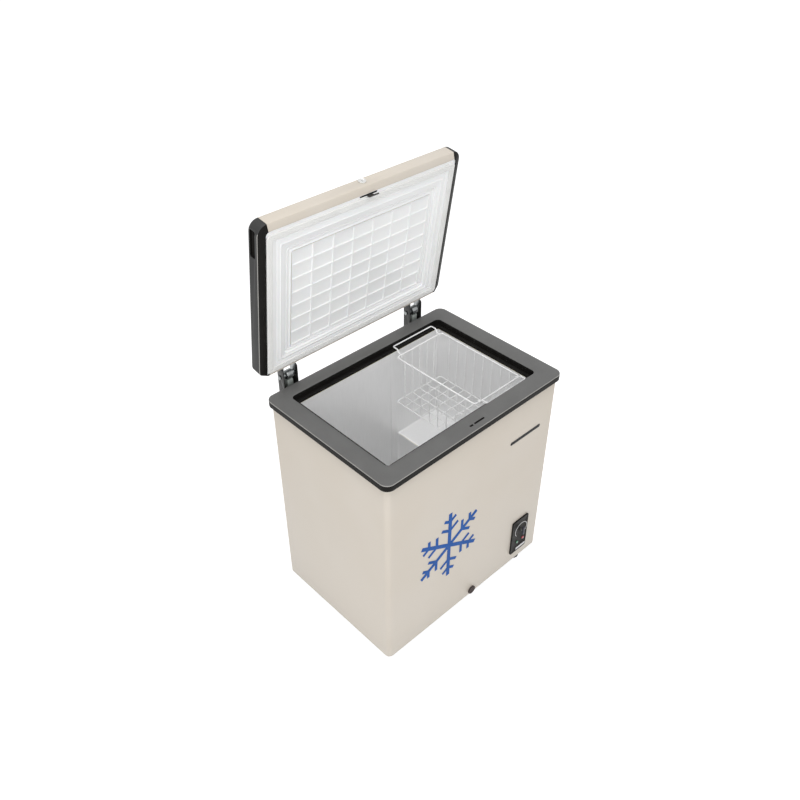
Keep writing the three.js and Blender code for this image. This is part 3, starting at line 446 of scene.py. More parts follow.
def loft(loops, closed=False, steps=8):
    """A skin through rounded rectangles (x0, x1, y0, y1, z, front corner, rear corner): a ring if closed."""
    rings = [plan_ring(*loop, steps) for loop in loops]
    count = len(rings[0].data.vertices)
    sides = [tuple(edge.vertices) for edge in rings[0].data.edges]
    shape = bmesh.new()
    points = [shape.verts.new(vertex.co) for ring in rings for vertex in ring.data.vertices]
    pairs = [(number, number + 1) for number in range(len(loops) - 1)]
    if closed:
        pairs.append((len(loops) - 1, 0))
    for lower, upper in pairs:
        for first, second in sides:
            shape.faces.new([points[lower * count + first], points[lower * count + second],
                             points[upper * count + second], points[upper * count + first]])
    if not closed:
        bmesh.ops.holes_fill(shape, edges=[edge for edge in shape.edges if edge.is_boundary], sides=0)
    for ring in rings[1:]:
        bpy.data.objects.remove(ring)
    shape.to_mesh(rings[0].data)
    shape.free()
    return face_outwards(rings[0])


def frame_loop(half, y0, y1, z, front_corner, rear_corner=None):
    """One loop that is the same on the left and the right."""
    return (-half, half, y0, y1, z, front_corner, front_corner if rear_corner is None else rear_corner)


def bent_wire(points, radius, bend=0.0, sides=10, steps=5):
    """Round wire along straight runs, bent at each corner as on a former, with its ends domed."""
    points = [Vector(p) for p in points]
    into = (points[1] - points[0]).normalized()
    bpy.ops.mesh.primitive_circle_add(
        vertices=sides, radius=radius, fill_type="NGON", location=points[0],
        rotation=into.to_track_quat("Z", "Y").to_euler())
    wire = bpy.context.object
    fix_place(wire)
    wake(wire)
    bpy.ops.mesh.select_all(action="SELECT")
    at = points[0]
    for index in range(1, len(points)):
        heading = (points[index] - points[index - 1]).normalized()
        corner = index < len(points) - 1
        onward = (points[index + 1] - points[index]).normalized() if corner else heading
        turn = heading.angle(onward)
        tangent = bend * math.tan(turn / 2) if corner else 0.0
        target = points[index] - heading * tangent
        bpy.ops.mesh.extrude_region_move(TRANSFORM_OT_translate={"value": target - at})
        at = target
        if corner:
            axis = heading.cross(onward).normalized()
            centre = at + axis.cross(heading) * bend
            bpy.ops.mesh.spin(steps=steps, angle=-turn, center=centre, axis=axis)
            at = points[index] + onward * tangent
    rest()
    return face_outwards(wire)


def settle(piece, name, body, slot, *nodes, angle=35):
    """Names the finished piece, shades it, gives it its finish and body, and hides the nodes it stands for."""
    piece.name = name
    piece.data.name = name
    fix_place(piece)
    bpy.ops.object.shade_smooth_by_angle(angle=math.radians(angle))
    if not piece.data.materials:
        piece.data.materials.append(FINISH[slot])
    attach(piece, body)
    if nodes:
        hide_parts(*nodes)
    return piece


def paint(piece, finishes, test):
    """Gives the piece several finishes; the test says which one each face has."""
    piece.data.materials.clear()
    for coat in finishes:
        piece.data.materials.append(coat)
    for face in piece.data.polygons:
        face.material_index = test(face)


hinge = next(joint for joint in frame["joints"] if joint["name"] == "lid_hinge")
pivot = Vector(hinge["pos_m"])
lid_raised = (Matrix.Translation(pivot) @ Matrix.Rotation(math.radians(hinge["range_deg"][0]), 4, "X")
              @ Matrix.Translation(-pivot))


def raise_with_lid(piece):
    """Turns a piece that was drawn with the lid shut to where the open lid has it."""
    piece.matrix_world = lid_raised @ piece.matrix_world
    fix_place(piece)
    return piece


def shut_box(node):
    """Lowest and highest corner that a lid node would have with the lid shut."""
    back = lid_raised.inverted()
    corners = [back @ v.co for v in frame["nodes"][node].data.vertices]
    low = Vector([min(c[i] for c in corners) for i in range(3)])
    high = Vector([max(c[i] for c in corners) for i in range(3)])
    return low, high


# ---------- cabinet ----------

shell_low, shell_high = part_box("outer_shell")
cabinet_middle_y = (shell_low.y + shell_high.y) / 2
BODY_CORNER = 15 * MM
SHELL_SHEET = 1.2 * MM
back_low, back_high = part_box("rear_panel")


def outer_shell():
    """Folded steel wrap: front and sides in one sheet, returned round the back."""
    corners = (BODY_CORNER, BODY_CORNER)
    piece = loft([
        (shell_low.x, shell_high.x, shell_low.y, shell_high.y, shell_low.z, *corners),
        (shell_low.x, shell_high.x, shell_low.y, shell_high.y, shell_high.z, *corners),
    ], steps=12)
    wake(piece)
    for side in (back_low.x, back_high.x):
        bpy.ops.mesh.select_all(action="SELECT")
        bpy.ops.mesh.bisect(plane_co=(side, 0, 0), plane_no=(1, 0, 0))
    choose(piece, "FACE", lambda f: abs(f.normal.z) > 0.5
           or (f.normal.y > 0.9 and abs(f.calc_center_median().x) < back_high.x))
    bpy.ops.mesh.delete(type="FACE")
    rest()
    apply(piece, "SOLIDIFY", thickness=SHELL_SHEET, offset=-1)
    soften(piece, 0.3, 2)
    return settle(piece, "cabinet_wrap", "cabinet", "painted_beige", "outer_shell")


outer_shell()

collar_low, collar_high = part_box("top_collar")
ledge_low, ledge_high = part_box("breaker_strip")
liner_low, liner_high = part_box("inner_liner")
OPENING_SIDE = 50 * MM
OPENING_FRONT = 50.6 * MM
OPENING_REAR = 39.6 * MM
opening_half = collar_high.x - OPENING_SIDE
opening_front = collar_low.y + OPENING_FRONT
opening_rear = collar_high.y - OPENING_REAR
COLLAR_CORNER = 22 * MM
OPENING_CORNER = 12 * MM
LOCK_SLOT_BACK = 18.5 * MM


def top_collar():
    """Moulded collar: a flat top with a rounded rim, a dark skirt, and a wall down into the mouth."""
    def outer(inset, z):
        return (collar_low.x + inset, collar_high.x - inset, collar_low.y + inset, collar_high.y - inset, z,
                COLLAR_CORNER - inset, COLLAR_CORNER - inset)

    def inner(inset, z):
        return (-opening_half - inset, opening_half + inset, opening_front - inset, opening_rear + inset, z,
                OPENING_CORNER + inset, OPENING_CORNER + inset)

    top = collar_high.z
    rim = 2.4 * MM
    lip = 1.6 * MM
    loops = [outer(0, collar_low.z), outer(0, top - rim)]
    for step in range(1, 5):
        angle = QUARTER * step / 4
        loops.append(outer(rim * (1 - math.cos(angle)), top - rim * (1 - math.sin(angle))))
    for step in range(5):
        angle = QUARTER * step / 4
        loops.append(inner(lip * (1 - math.sin(angle)), top - lip * (1 - math.cos(angle))))
    wall = 2.2 * MM
    foot_z, plate_z = ledge_high.z + 0.4 * MM, top - 4.4 * MM
    loops += [inner(0, foot_z), inner(wall, foot_z), inner(wall, plate_z)]
    loops += [outer(wall, plate_z), outer(wall, collar_low.z)]
    piece = loft(loops, closed=True, steps=10)
    slot_y, slot_half = collar_low.y + LOCK_SLOT_BACK, 2.6 * MM
    slots = [block((x0 * MM, slot_y - slot_half, top - 9 * MM), (x1 * MM, slot_y + slot_half, top + 5 * MM))
             for x0, x1 in ((-8, 26), (-24, -13))]
    for cutter in slots:
        soften(cutter, 1.0, 3)
    carve(piece, *slots)
    mouth_zone = 9 * MM

    def part_of(face):
        if face.center.z < top - rim or face.normal.z < 0.05:
            return 1
        outside = (face.center.y < opening_front - mouth_zone or face.center.y > opening_rear + mouth_zone
                   or abs(face.center.x) > opening_half + mouth_zone)
        # The outer rounded rim takes the paler coat: a painted highlight along the edge.
        return 2 if outside and face.normal.z < 0.8 else 0

    paint(piece, [FINISH["collar_grey"], FINISH["breaker_black"], PAINTED_HIGHLIGHT_EDGE], part_of)
    return settle(piece, "collar_moulding", "cabinet", "collar_grey", "top_collar")


top_collar()


def breaker_strip():
    """Black strip that carries the collar to the tub, with a stepped edge round the mouth."""
    reach = 34 * MM

    def at(inset, z, corner):
        return (-opening_half - reach + inset, opening_half + reach - inset, opening_front - reach + inset,
                opening_rear + reach - 12 * MM - inset, z, corner, corner)

    def mouth(inset, z):
        return (liner_low.x - inset, liner_high.x + inset, liner_low.y - inset, liner_high.y + inset, z,
                5 * MM + inset, 5 * MM + inset)

    top, low = ledge_high.z, ledge_low.z
    groove = 2.2 * MM
    loops = [at(0, low, 12 * MM), at(0, top - 0.6 * MM, 12 * MM), at(0.6 * MM, top, 12 * MM)]
    loops += [mouth(11.5 * MM, top), mouth(11 * MM, top - groove), mouth(6.5 * MM, top - groove), mouth(6 * MM, top)]
    loops += [mouth(0.9 * MM, top), mouth(0.1 * MM, top - 0.8 * MM), mouth(0.1 * MM, low)]
    piece = loft(loops, closed=True, steps=6)
    return settle(piece, "mouth_breaker_strip", "cabinet", "breaker_black", "breaker_strip")


breaker_strip()

STEP_LEFT = 91 * MM
STEP_TOP = cad_low.z + 332 * MM
LINER_SHEET = 0.9 * MM


def inner_liner():
    """Folded aluminium tub, its floor raised on the right over the compressor."""
    low = liner_low + Vector((1, 1, 1)) * MM
    high = Vector((liner_high.x - 1 * MM, liner_high.y - 1 * MM, liner_high.z))
    piece = block(low, (STEP_LEFT, high.y, high.z))
    shelf = block((STEP_LEFT - 20 * MM, low.y, STEP_TOP), high)
    fuse(piece, shelf)
    wake(piece)
    choose(piece, "FACE", lambda f: f.normal.z > 0.9)
    bpy.ops.mesh.delete(type="FACE")
    bpy.ops.mesh.select_all(action="SELECT")
    bpy.ops.mesh.dissolve_limited(angle_limit=math.radians(1))
    choose(piece, "EDGE", lambda e: len(e.link_faces) == 2 and e.calc_face_angle(0) > 0.5)
    bpy.ops.mesh.bevel(offset=5 * MM, segments=5, affect="EDGES")
    rest()
    apply(piece, "SOLIDIFY", thickness=LINER_SHEET, offset=1)
    return settle(piece, "aluminium_tub", "cabinet", "liner_aluminium", "inner_liner")


inner_liner()


# ---------- lid, drawn shut and then raised ----------

skin_low, skin_high = shut_box("lid_skin")
cap_low, cap_high = shut_box("lid_end_cap_right")
lid_half = cap_high.x
LID_BEVEL_SIDE = 18.5 * MM
LID_BEVEL_FRONT = 17 * MM
LID_BEVEL_RISE = 7.4 * MM
LID_ROUND = 9 * MM
LID_FRONT_CORNER = 26 * MM
LID_REAR_CORNER = 16 * MM
lid_base = skin_low.z - 0.6 * MM


def lid_blank():
    """The lid's whole outer form: bevelled below at the front and sides, rounded above."""
    low, top = skin_low.z, skin_high.z
    front, rear = skin_low.y, skin_high.y

    def at(inset, z):
        return frame_loop(lid_half - inset, front + inset, rear - inset, z,
                          LID_FRONT_CORNER - inset, LID_REAR_CORNER - inset)

    loops = [frame_loop(lid_half - LID_BEVEL_SIDE, front + LID_BEVEL_FRONT, rear, low, 9 * MM, 4 * MM)]
    loops.append(at(0.9 * MM, low + LID_BEVEL_RISE - 1.0 * MM))
    loops.append(at(0, low + LID_BEVEL_RISE + 0.7 * MM))
    loops.append(at(0, top - LID_ROUND))
    for step in range(1, 7):
        angle = QUARTER * step / 6
        loops.append(at(LID_ROUND * (1 - math.cos(angle)), top - LID_ROUND * (1 - math.sin(angle))))
    return loft(loops, steps=10)


def keep_between(piece, low_x, high_x):
    """Cuts the piece down to the part between two planes across X, and leaves the cuts open."""
    wake(piece)
    bpy.ops.mesh.select_all(action="SELECT")
    bpy.ops.mesh.bisect(plane_co=(low_x, 0, 0), plane_no=(1, 0, 0), clear_inner=True)
    bpy.ops.mesh.select_all(action="SELECT")
    bpy.ops.mesh.bisect(plane_co=(high_x, 0, 0), plane_no=(1, 0, 0), clear_outer=True)
    rest()


def open_below(piece, z):
    """Removes the flat underside."""
    wake(piece)
    choose(piece, "FACE", lambda f: f.normal.z < -0.95 and f.calc_center_median().z < z)
    bpy.ops.mesh.delete(type="FACE")
    rest()


lock_low, lock_high = shut_box("lock_cylinder")
lock_x, lock_z = (lock_low.x + lock_high.x) / 2, (lock_low.z + lock_high.z) / 2


def lid_skin():
    """Painted steel top and front of the lid, between the end caps."""
    piece = lid_blank()
    open_below(piece, skin_low.z + 1 * MM)
    keep_between(piece, skin_low.x, skin_high.x)
    apply(piece, "SOLIDIFY", thickness=1.0 * MM, offset=-1)
    carve(piece, bar((lock_x, skin_low.y - 5 * MM, lock_z), (lock_x, skin_low.y + 5 * MM, lock_z),
                     (lock_high.x - lock_low.x) / 2 + 0.4 * MM, 40))
    soften(piece, 0.3, 2)
    raise_with_lid(piece)
    return settle(piece, "lid_top_skin", "lid", "painted_beige", "lid_skin")


lid_skin()

GRIP_FRONT = 16 * MM
GRIP_LENGTH = 70 * MM
GRIP_LOW = 15 * MM
GRIP_HEIGHT = 20 * MM
GRIP_DEPTH = 9 * MM
GRIP_WALL = 2 * MM


def end_cap(side, name):
    """Moulded cap on one end of the lid: darker on the bevel, with a pocket for the fingers."""
    piece = lid_blank()
    open_below(piece, skin_low.z + 1 * MM)
    seam = cap_low.x
    keep_between(piece, *((seam, lid_half + MM) if side > 0 else (-lid_half - MM, -seam)))
    apply(piece, "SOLIDIFY", thickness=2.4 * MM, offset=-1)
    low_z = lid_base + GRIP_LOW
    front = skin_low.y + GRIP_FRONT
    left, right = sorted((side * (lid_half + GRIP_WALL), side * (lid_half - GRIP_DEPTH)))
    pocket = block((left, front, low_z), (right, front + GRIP_LENGTH, low_z + GRIP_HEIGHT))
    soften(pocket, 4.5, 5)
    left, right = sorted((side * (lid_half - 0.8 * MM), side * (lid_half - GRIP_DEPTH - GRIP_WALL)))
    cup = block((left, front - GRIP_WALL, low_z - GRIP_WALL),
                (right, front + GRIP_LENGTH + GRIP_WALL, low_z + GRIP_HEIGHT + GRIP_WALL))
    fuse(piece, cup)
    carve(piece, pocket)
    soften(piece, 0.35, 2)
    shoulder = skin_low.z + LID_BEVEL_RISE

    def part_of(face):
        at = face.center
        # The ridge at the shoulder takes the paler coat: a painted highlight.
        if shoulder - 1.1 * MM < at.z < shoulder + 0.8 * MM and abs(at.x) > lid_half - 2 * MM:
            return 2
        bevel = at.z < shoulder - 0.2 * MM and face.normal.z < -0.1
        # The inside of the finger pocket is painted dark: painted shade in the recess.
        pocket_painted_shade = (front < at.y < front + GRIP_LENGTH and low_z < at.z < low_z + GRIP_HEIGHT
                     and lid_half - GRIP_DEPTH - 0.5 * MM < abs(at.x) < lid_half - 2.5 * MM)
        return 1 if bevel or pocket_painted_shade else 0

    paint(piece, [FINISH["cap_charcoal"], FINISH["breaker_black"], PAINTED_HIGHLIGHT_EDGE], part_of)
    raise_with_lid(piece)
    return settle(piece, name + "_moulding", "lid", "cap_charcoal", name)


end_cap(-1, "lid_end_cap_left")
end_cap(1, "lid_end_cap_right")

lid_liner_low, lid_liner_high = shut_box("lid_liner")
gasket_low, gasket_high = shut_box("lid_gasket")
TILE_COLUMNS = 7
TILE_ROWS = 7


def hook_slot():
    """The long slot in the lid's underside that the lock's hook comes out of."""
    slot_y = skin_low.y + LID_BEVEL_FRONT + 4.6 * MM
    slot = block((-26 * MM, slot_y - 2.3 * MM, lid_liner_low.z - 8 * MM),
                 (28 * MM, slot_y + 2.3 * MM, lid_liner_low.z + 8 * MM))
    soften(slot, 1.2, 3)
    return slot


def lid_liner():
    """Vacuum-formed lining: a flat rim, a moulded border in steps, and a field of tiles between ribs."""
    half = lid_liner_high.x
    front, rear = lid_liner_low.y, lid_liner_high.y
    base = lid_liner_low.z

    def at(side, ahead_in, back_in, z, corner):
        return frame_loop(half - side * MM, front + ahead_in * MM, rear - back_in * MM, z + base, corner * MM)

    # Each loop's distance in from the side, the front and the rear, its height, and its corner's radius.
    border = [
        (0, 0, 0, 2.0, 2), (0, 0, 0, 0, 2), (27, 27, 24, 0, 3), (28, 28, 25, 1.0, 3), (29.5, 29.5, 26, 1.0, 3),
        (30.5, 30.5, 27, 0, 3), (38, 42, 30, 0, 4), (39.5, 43.5, 31, -1.2, 5), (42, 46, 33, -1.2, 5),
        (43.5, 47.5, 34, 0.2, 6), (53.5, 57.5, 40, 0.4, 8), (56, 60, 42, 5.0, 8), (59, 62.5, 44, 5.4, 7),
        (60.5, 64, 45.5, 3.6, 7), (63, 66.5, 47, 3.6, 6), (65, 69, 49, 5.6, 5), (69, 73, 51, 5.6, 4),
        (70.5, 74.5, 52.5, 3.4, 4), (73, 77, 54, 3.4, 3), (74.5, 78.5, 55.5, 5.6, 3),
    ]
    loops = [at(*row[:3], row[3] * MM, row[4]) for row in border]
    piece = loft(loops, steps=5)
    field_z = loops[-1][4]
    x_half, y_low, y_high = loops[-1][1], loops[-1][2], loops[-1][3]
    wake(piece)
    choose(piece, "FACE", lambda f: len(f.verts) > 4)
    bpy.ops.mesh.delete(type="FACE")
    rest()
    bpy.ops.mesh.primitive_grid_add(x_subdivisions=TILE_COLUMNS, y_subdivisions=TILE_ROWS, size=1,
                                    location=(0, (y_low + y_high) / 2, field_z - 2.2 * MM))
    field = bpy.context.object
    field.scale = (2 * x_half + 0.6 * MM, y_high - y_low + 0.6 * MM, 1)
    fix_place(field)
    wake(field)
    bpy.ops.mesh.select_all(action="SELECT")
    bpy.ops.mesh.flip_normals()
    bpy.ops.mesh.inset(thickness=1.7 * MM, use_individual=True)
    bpy.ops.mesh.inset(thickness=1.5 * MM, depth=-2.2 * MM, use_individual=True)
    choose(field, "FACE", lambda f: f.calc_center_median().z > field_z - 1e-5)
    bpy.ops.mesh.inset(thickness=0.8 * MM, depth=-0.15 * MM, use_individual=True)
    rest()
    merge(piece, field)
    apply(piece, "SOLIDIFY", thickness=0.8 * MM, offset=-1)
    soften(piece, 0.5, 2, 20)
    carve(piece, hook_slot())
    raise_with_lid(piece)
    return settle(piece, "lid_lining", "lid", "lid_white", "lid_liner", angle=60)


lid_liner()


def lid_gasket():
    """Seal round the lid: a flat magnetic face with two fine grooves and a soft bellows behind it."""
    half = gasket_high.x
    front, rear = gasket_low.y, gasket_high.y
    low, high = gasket_low.z, gasket_high.z
    # Distance in from the edge, in millimetres, and height as a share of the seal's own.
    section = [(0, 0.9), (0.1, 0.4), (0.5, 0.08), (1, 0), (4.6, 0), (5.0, 0.5), (5.6, 0.5), (6.0, 0), (10, 0),
               (10.4, 0.5), (11, 0.5), (11.4, 0), (15, 0), (15.6, 0.1), (15.9, 0.5), (16, 0.9), (13, 1), (3, 1)]
    loops = [frame_loop(half - inset * MM, front + inset * MM, rear - inset * MM, low + rise * (high - low),
                        max(9 - 0.45 * inset, 1) * MM) for inset, rise in section]
    piece = loft(loops, closed=True, steps=6)
    carve(piece, hook_slot())
    raise_with_lid(piece)
    return settle(piece, "magnetic_seal", "lid", "gasket_white", "lid_gasket", angle=50)


lid_gasket()

# ---------- lock ----------


def lock_plug():
    """Round chromed plug with a raised rim and a keyway."""
    radius = (lock_high.x - lock_low.x) / 2
    front = lock_low.y
    piece = bar((lock_x, front, lock_z), (lock_x, lock_high.y, lock_z), radius, 48)
    wake(piece)
    choose(piece, "FACE", faces_front)
    bpy.ops.mesh.inset(thickness=1.3 * MM)
    bpy.ops.mesh.inset(thickness=0.6 * MM, depth=-0.7 * MM)
    bpy.ops.mesh.inset(thickness=1.6 * MM, depth=0.5 * MM)
    rest()
    soften(piece, 0.25, 2)
    carve(piece, block((lock_x - 0.5 * MM, front - MM, lock_z - 3.4 * MM),
                       (lock_x + 0.5 * MM, front + 3 * MM, lock_z + 3.4 * MM)))
    raise_with_lid(piece)
    return settle(piece, "lock_plug", "lock_cylinder", "lock_chrome", "lock_cylinder")


lock_plug()


def drawn(x, y, z):
    """A point given in millimetres from the middle of the cabinet's underside."""
    return Vector((x * MM, cabinet_middle_y + y * MM, shell_low.z + z * MM))


def pressing(outline, low_x, high_x):
    """Flat plate with this outline (y, z) between two planes across X."""
    bpy.ops.mesh.primitive_circle_add(vertices=len(outline), radius=0.01, fill_type="NGON")
    piece = bpy.context.object
    for vertex, (y, z) in zip(piece.data.vertices, outline):
        vertex.co = (low_x, y, z)
    wake(piece)
    bpy.ops.mesh.select_all(action="SELECT")
    bpy.ops.mesh.extrude_region_move(TRANSFORM_OT_translate={"value": (high_x - low_x, 0, 0)})
    rest()
    return face_outwards(piece)


# ---------- wire basket ----------

basket_low, basket_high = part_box("basket")
RIM_RADIUS = 2 * MM
MESH_RADIUS = 1.3 * MM
BASKET_PITCH = 30 * MM
basket_left, basket_right = basket_low.x + RIM_RADIUS, basket_high.x - RIM_RADIUS
basket_front, basket_rear = basket_low.y + RIM_RADIUS, basket_high.y - RIM_RADIUS
rim_z, basket_floor_z = basket_high.z - RIM_RADIUS, basket_low.z + MESH_RADIUS


def rim_ring(z, radius, bend):
    """Closed ring of wire round the basket, butt-welded in the middle of its front."""
    middle = (basket_left + basket_right) / 2
    return bent_wire([(middle, basket_front, z), (basket_right, basket_front, z), (basket_right, basket_rear, z),
                      (basket_left, basket_rear, z), (basket_left, basket_front, z),
                      (middle + 0.3 * MM, basket_front, z)], radius, bend, 12, 6)


def between(low, high, pitch):
    """Even places between two ends, about one pitch apart."""
    count = round((high - low) / pitch)
    return [low + (high - low) * (i + 1) / count for i in range(count - 1)]


def basket():
    """Welded basket: a thick rim, a thin ring at the foot, and U-shaped wires crossing under the load."""
    wires = [rim_ring(rim_z, RIM_RADIUS, 9 * MM), rim_ring(basket_floor_z, MESH_RADIUS * 1.15, 8 * MM)]
    tuck = 0.8 * MM
    for y in between(basket_front, basket_rear, BASKET_PITCH):
        left, right = basket_left + tuck, basket_right - tuck
        wires.append(bent_wire([(left, y, rim_z), (left, y, basket_floor_z), (right, y, basket_floor_z),
                                (right, y, rim_z)], MESH_RADIUS, 4 * MM, 8, 4))
    over = basket_floor_z + 2 * MESH_RADIUS - 0.3 * MM
    for x in between(basket_left, basket_right, BASKET_PITCH):
        front, rear = basket_front + tuck, basket_rear - tuck
        wires.append(bent_wire([(x, front, rim_z), (x, front, over), (x, rear, over), (x, rear, rim_z)],
                               MESH_RADIUS, 4 * MM, 8, 4))
    piece = merge(*wires)
    return settle(piece, "wire_basket", "basket", "basket_wire", "basket", angle=50)


basket()

HANDLE_RADIUS = 1.9 * MM
EYE_INSET = 13 * MM


def basket_handle(name, rim_y, way):
    """Loop of wire with both ends curled round the basket's rim."""
    low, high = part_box("basket_handle_" + name)
    far_y = low.y + RIM_RADIUS if way < 0 else high.y - RIM_RADIUS
    far_z = high.z - RIM_RADIUS
    left, right = basket_left + EYE_INSET, basket_right - EYE_INSET
    loop = bent_wire([(left, rim_y + way * 3.6 * MM, rim_z + 2.6 * MM), (left, rim_y + way * 12 * MM, far_z),
                      (left, far_y, far_z), (right, far_y, far_z), (right, rim_y + way * 12 * MM, far_z),
                      (right, rim_y + way * 3.6 * MM, rim_z + 2.6 * MM)], HANDLE_RADIUS, 4 * MM, 12, 5)
    eyes = []
    for x in (left, right):
        bpy.ops.mesh.primitive_torus_add(major_segments=32, minor_segments=12, major_radius=4.3 * MM,
                                         minor_radius=HANDLE_RADIUS * 0.85, location=(x, rim_y, rim_z),
                                         rotation=(0, QUARTER, 0))
        fix_place(bpy.context.object)
        eyes.append(bpy.context.object)
    piece = merge(loop, *eyes)
    return settle(piece, "handle_wire_" + name, "handle_" + name, "basket_wire", "basket_handle_" + name, angle=50)


basket_handle("front", basket_front, -1)
basket_handle("rear", basket_rear, 1)

# ---------- hinges ----------

pivot_y, pivot_z = pivot.y, pivot.z
HINGE_HALF = 22.5 * MM
HINGE_PLATE = 2.2 * MM
HINGE_SCREW_OUT = 7.5 * MM
HINGE_SCREW_END = 14 * MM
PIN_RADIUS = 3.6 * MM
PIN_BORE = 3.9 * MM
LEAF_PLATE = 2.4 * MM
hinge_x = (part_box("hinge_pin_right")[0].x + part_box("hinge_pin_right")[1].x) / 2


def arc(centre_y, centre_z, radius, start, end, steps=8):
    """Points (y, z) along an arc, in degrees from +Y towards +Z."""
    return [(centre_y + radius * math.cos(math.radians(start + (end - start) * i / steps)),
             centre_z + radius * math.sin(math.radians(start + (end - start) * i / steps)))
            for i in range(steps + 1)]


def screw(x, y, z, radius, name):
    """Pan-head screw with a cross recess, seen from behind."""
    head = bar((x, y, z), (x, y + radius * 0.55, z), radius, 28)
    soften(head, radius * 0.3 / MM, 3, 40)
    for long, high in ((0.55, 0.12), (0.12, 0.55)):
        carve(head, block((x - long * radius, y + radius * 0.3, z - high * radius),
                          (x + long * radius, y + radius, z + high * radius)))
    return settle(head, name, "cabinet", "bright_steel")


def hinge_bracket(side, name):
    """Pressed channel screwed to the back: two cheeks with rounded tops, a back plate and drilled flanges."""
    low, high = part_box("hinge_bracket_" + name)
    middle = side * hinge_x
    front, rear = low.y, high.y
    cheek_front = pivot_y - 16 * MM
    flange_top = drawn(0, 0, 602.5).z
    foot, shoulder = low.z, drawn(0, 0, 610.5).z
    screw_heights = (foot + HINGE_SCREW_END, flange_top - HINGE_SCREW_END)
    outline = [(front, foot), (rear, foot)]
    outline += arc(rear - 9 * MM, pivot_z + 20 * MM, 9 * MM, 0, 90)
    outline += arc(cheek_front + 6 * MM, pivot_z + 23 * MM, 6 * MM, 90, 180)
    outline += [(cheek_front, shoulder), (front, shoulder)]
    parts = []
    for way in (-1, 1):
        inner, outer = middle + way * (HINGE_HALF - HINGE_PLATE), middle + way * HINGE_HALF
        parts.append(pressing(outline, min(inner, outer), max(inner, outer)))
        wing = sorted((inner, middle + way * (HINGE_HALF + 14 * MM)))
        flange = block((wing[0], front, foot), (wing[1], front + HINGE_PLATE, flange_top))
        screw_x = middle + way * (HINGE_HALF + HINGE_SCREW_OUT)
        holes = [bar((screw_x, front - MM, z), (screw_x, front + 5 * MM, z), 2.6 * MM, 24) for z in screw_heights]
        carve(flange, *holes)
        parts.append(flange)
    back_top = pivot_z - 17 * MM
    parts.append(block((middle - HINGE_HALF, rear - HINGE_PLATE, foot), (middle + HINGE_HALF, rear, back_top)))
    cup_low, cup_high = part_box("spring_cup_" + name)
    shelf_top = drawn(0, 0, 547.7).z
    parts.append(block((middle - HINGE_HALF, cup_low.y - 2 * MM, shelf_top - HINGE_PLATE),
                       (middle + HINGE_HALF, rear, shelf_top)))
    piece = fuse(*parts)
    carve(piece, bar((middle - 30 * MM, pivot_y, pivot_z), (middle + 30 * MM, pivot_y, pivot_z), PIN_BORE, 32))
    soften(piece, 0.5, 2, 40)
    settle(piece, "hinge_channel_" + name, "cabinet", "hinge_black", "hinge_bracket_" + name)
    for way in (-1, 1):
        for z in screw_heights:
            screw(middle + way * (HINGE_HALF + HINGE_SCREW_OUT), front + HINGE_PLATE, z, 4.4 * MM,
                  f"hinge_screw_{name}")
    return piece


def hinge_pin(side, name):
    """Turned pin with domed, riveted heads."""
    low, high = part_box("hinge_pin_" + name)
    middle = side * hinge_x
    piece = bar((low.x + 0.6 * MM, pivot_y, pivot_z), (high.x - 0.6 * MM, pivot_y, pivot_z), PIN_RADIUS, 32)
    heads = []
    for way in (-1, 1):
        inner = middle + way * (HINGE_HALF + 0.3 * MM)
        heads.append(bar((inner, pivot_y, pivot_z), (inner + way * 2.7 * MM, pivot_y, pivot_z), 5.8 * MM, 32))
        soften(heads[-1], 1.4, 4, 40)
    return settle(merge(piece, *heads), "hinge_rivet_" + name, "cabinet", "bright_steel", "hinge_pin_" + name)


for side, name in ((-1, "left"), (1, "right")):
    hinge_bracket(side, name)
    hinge_pin(side, name)

# ---------- control panel ----------

panel_low, panel_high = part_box("control_panel")
knob_low, knob_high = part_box("thermostat_knob")
knob_x, knob_z = (knob_low.x + knob_high.x) / 2, (knob_low.z + knob_high.z) / 2
panel_face = panel_low.y


def control_panel():
    """Glossy moulded escutcheon: a soft outer edge, a shallow sunk field and holes for shaft and lamps."""
    deep = panel_face + 4 * MM
    piece = block((panel_low.x, panel_face, panel_low.z), (panel_high.x, deep, panel_high.z))
    wake(piece)
    choose(piece, "EDGE", runs_back)
    bpy.ops.mesh.bevel(offset=6 * MM, segments=6)
    choose(piece, "FACE", faces_front)
    bpy.ops.mesh.inset(thickness=2.2 * MM)
    bpy.ops.mesh.inset(thickness=0.5 * MM, depth=-0.35 * MM)
    rest()
    soften(piece, 0.7, 3, 50)
    back = block((panel_low.x + 6 * MM, deep - MM, panel_low.z + 6 * MM),
                 (panel_high.x - 6 * MM, panel_high.y, panel_high.z - 6 * MM))
    fuse(piece, back)
    cuts = [block((panel_low.x + 8 * MM, deep, panel_low.z + 8 * MM),
                  (panel_high.x - 8 * MM, panel_high.y + MM, panel_high.z - 8 * MM)),
            bar((knob_x, panel_face - MM, knob_z), (knob_x, deep + MM, knob_z), 3.8 * MM, 24)]
    for lamp in ("power_lamp", "alarm_lamp"):
        low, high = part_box(lamp)
        x, z = (low.x + high.x) / 2, (low.z + high.z) / 2
        cuts.append(bar((x, panel_face - MM, z), (x, deep + MM, z), 4.8 * MM, 32))
    carve(piece, *cuts)
    return settle(piece, "control_escutcheon", "cabinet", "panel_black", "control_panel")


control_panel()


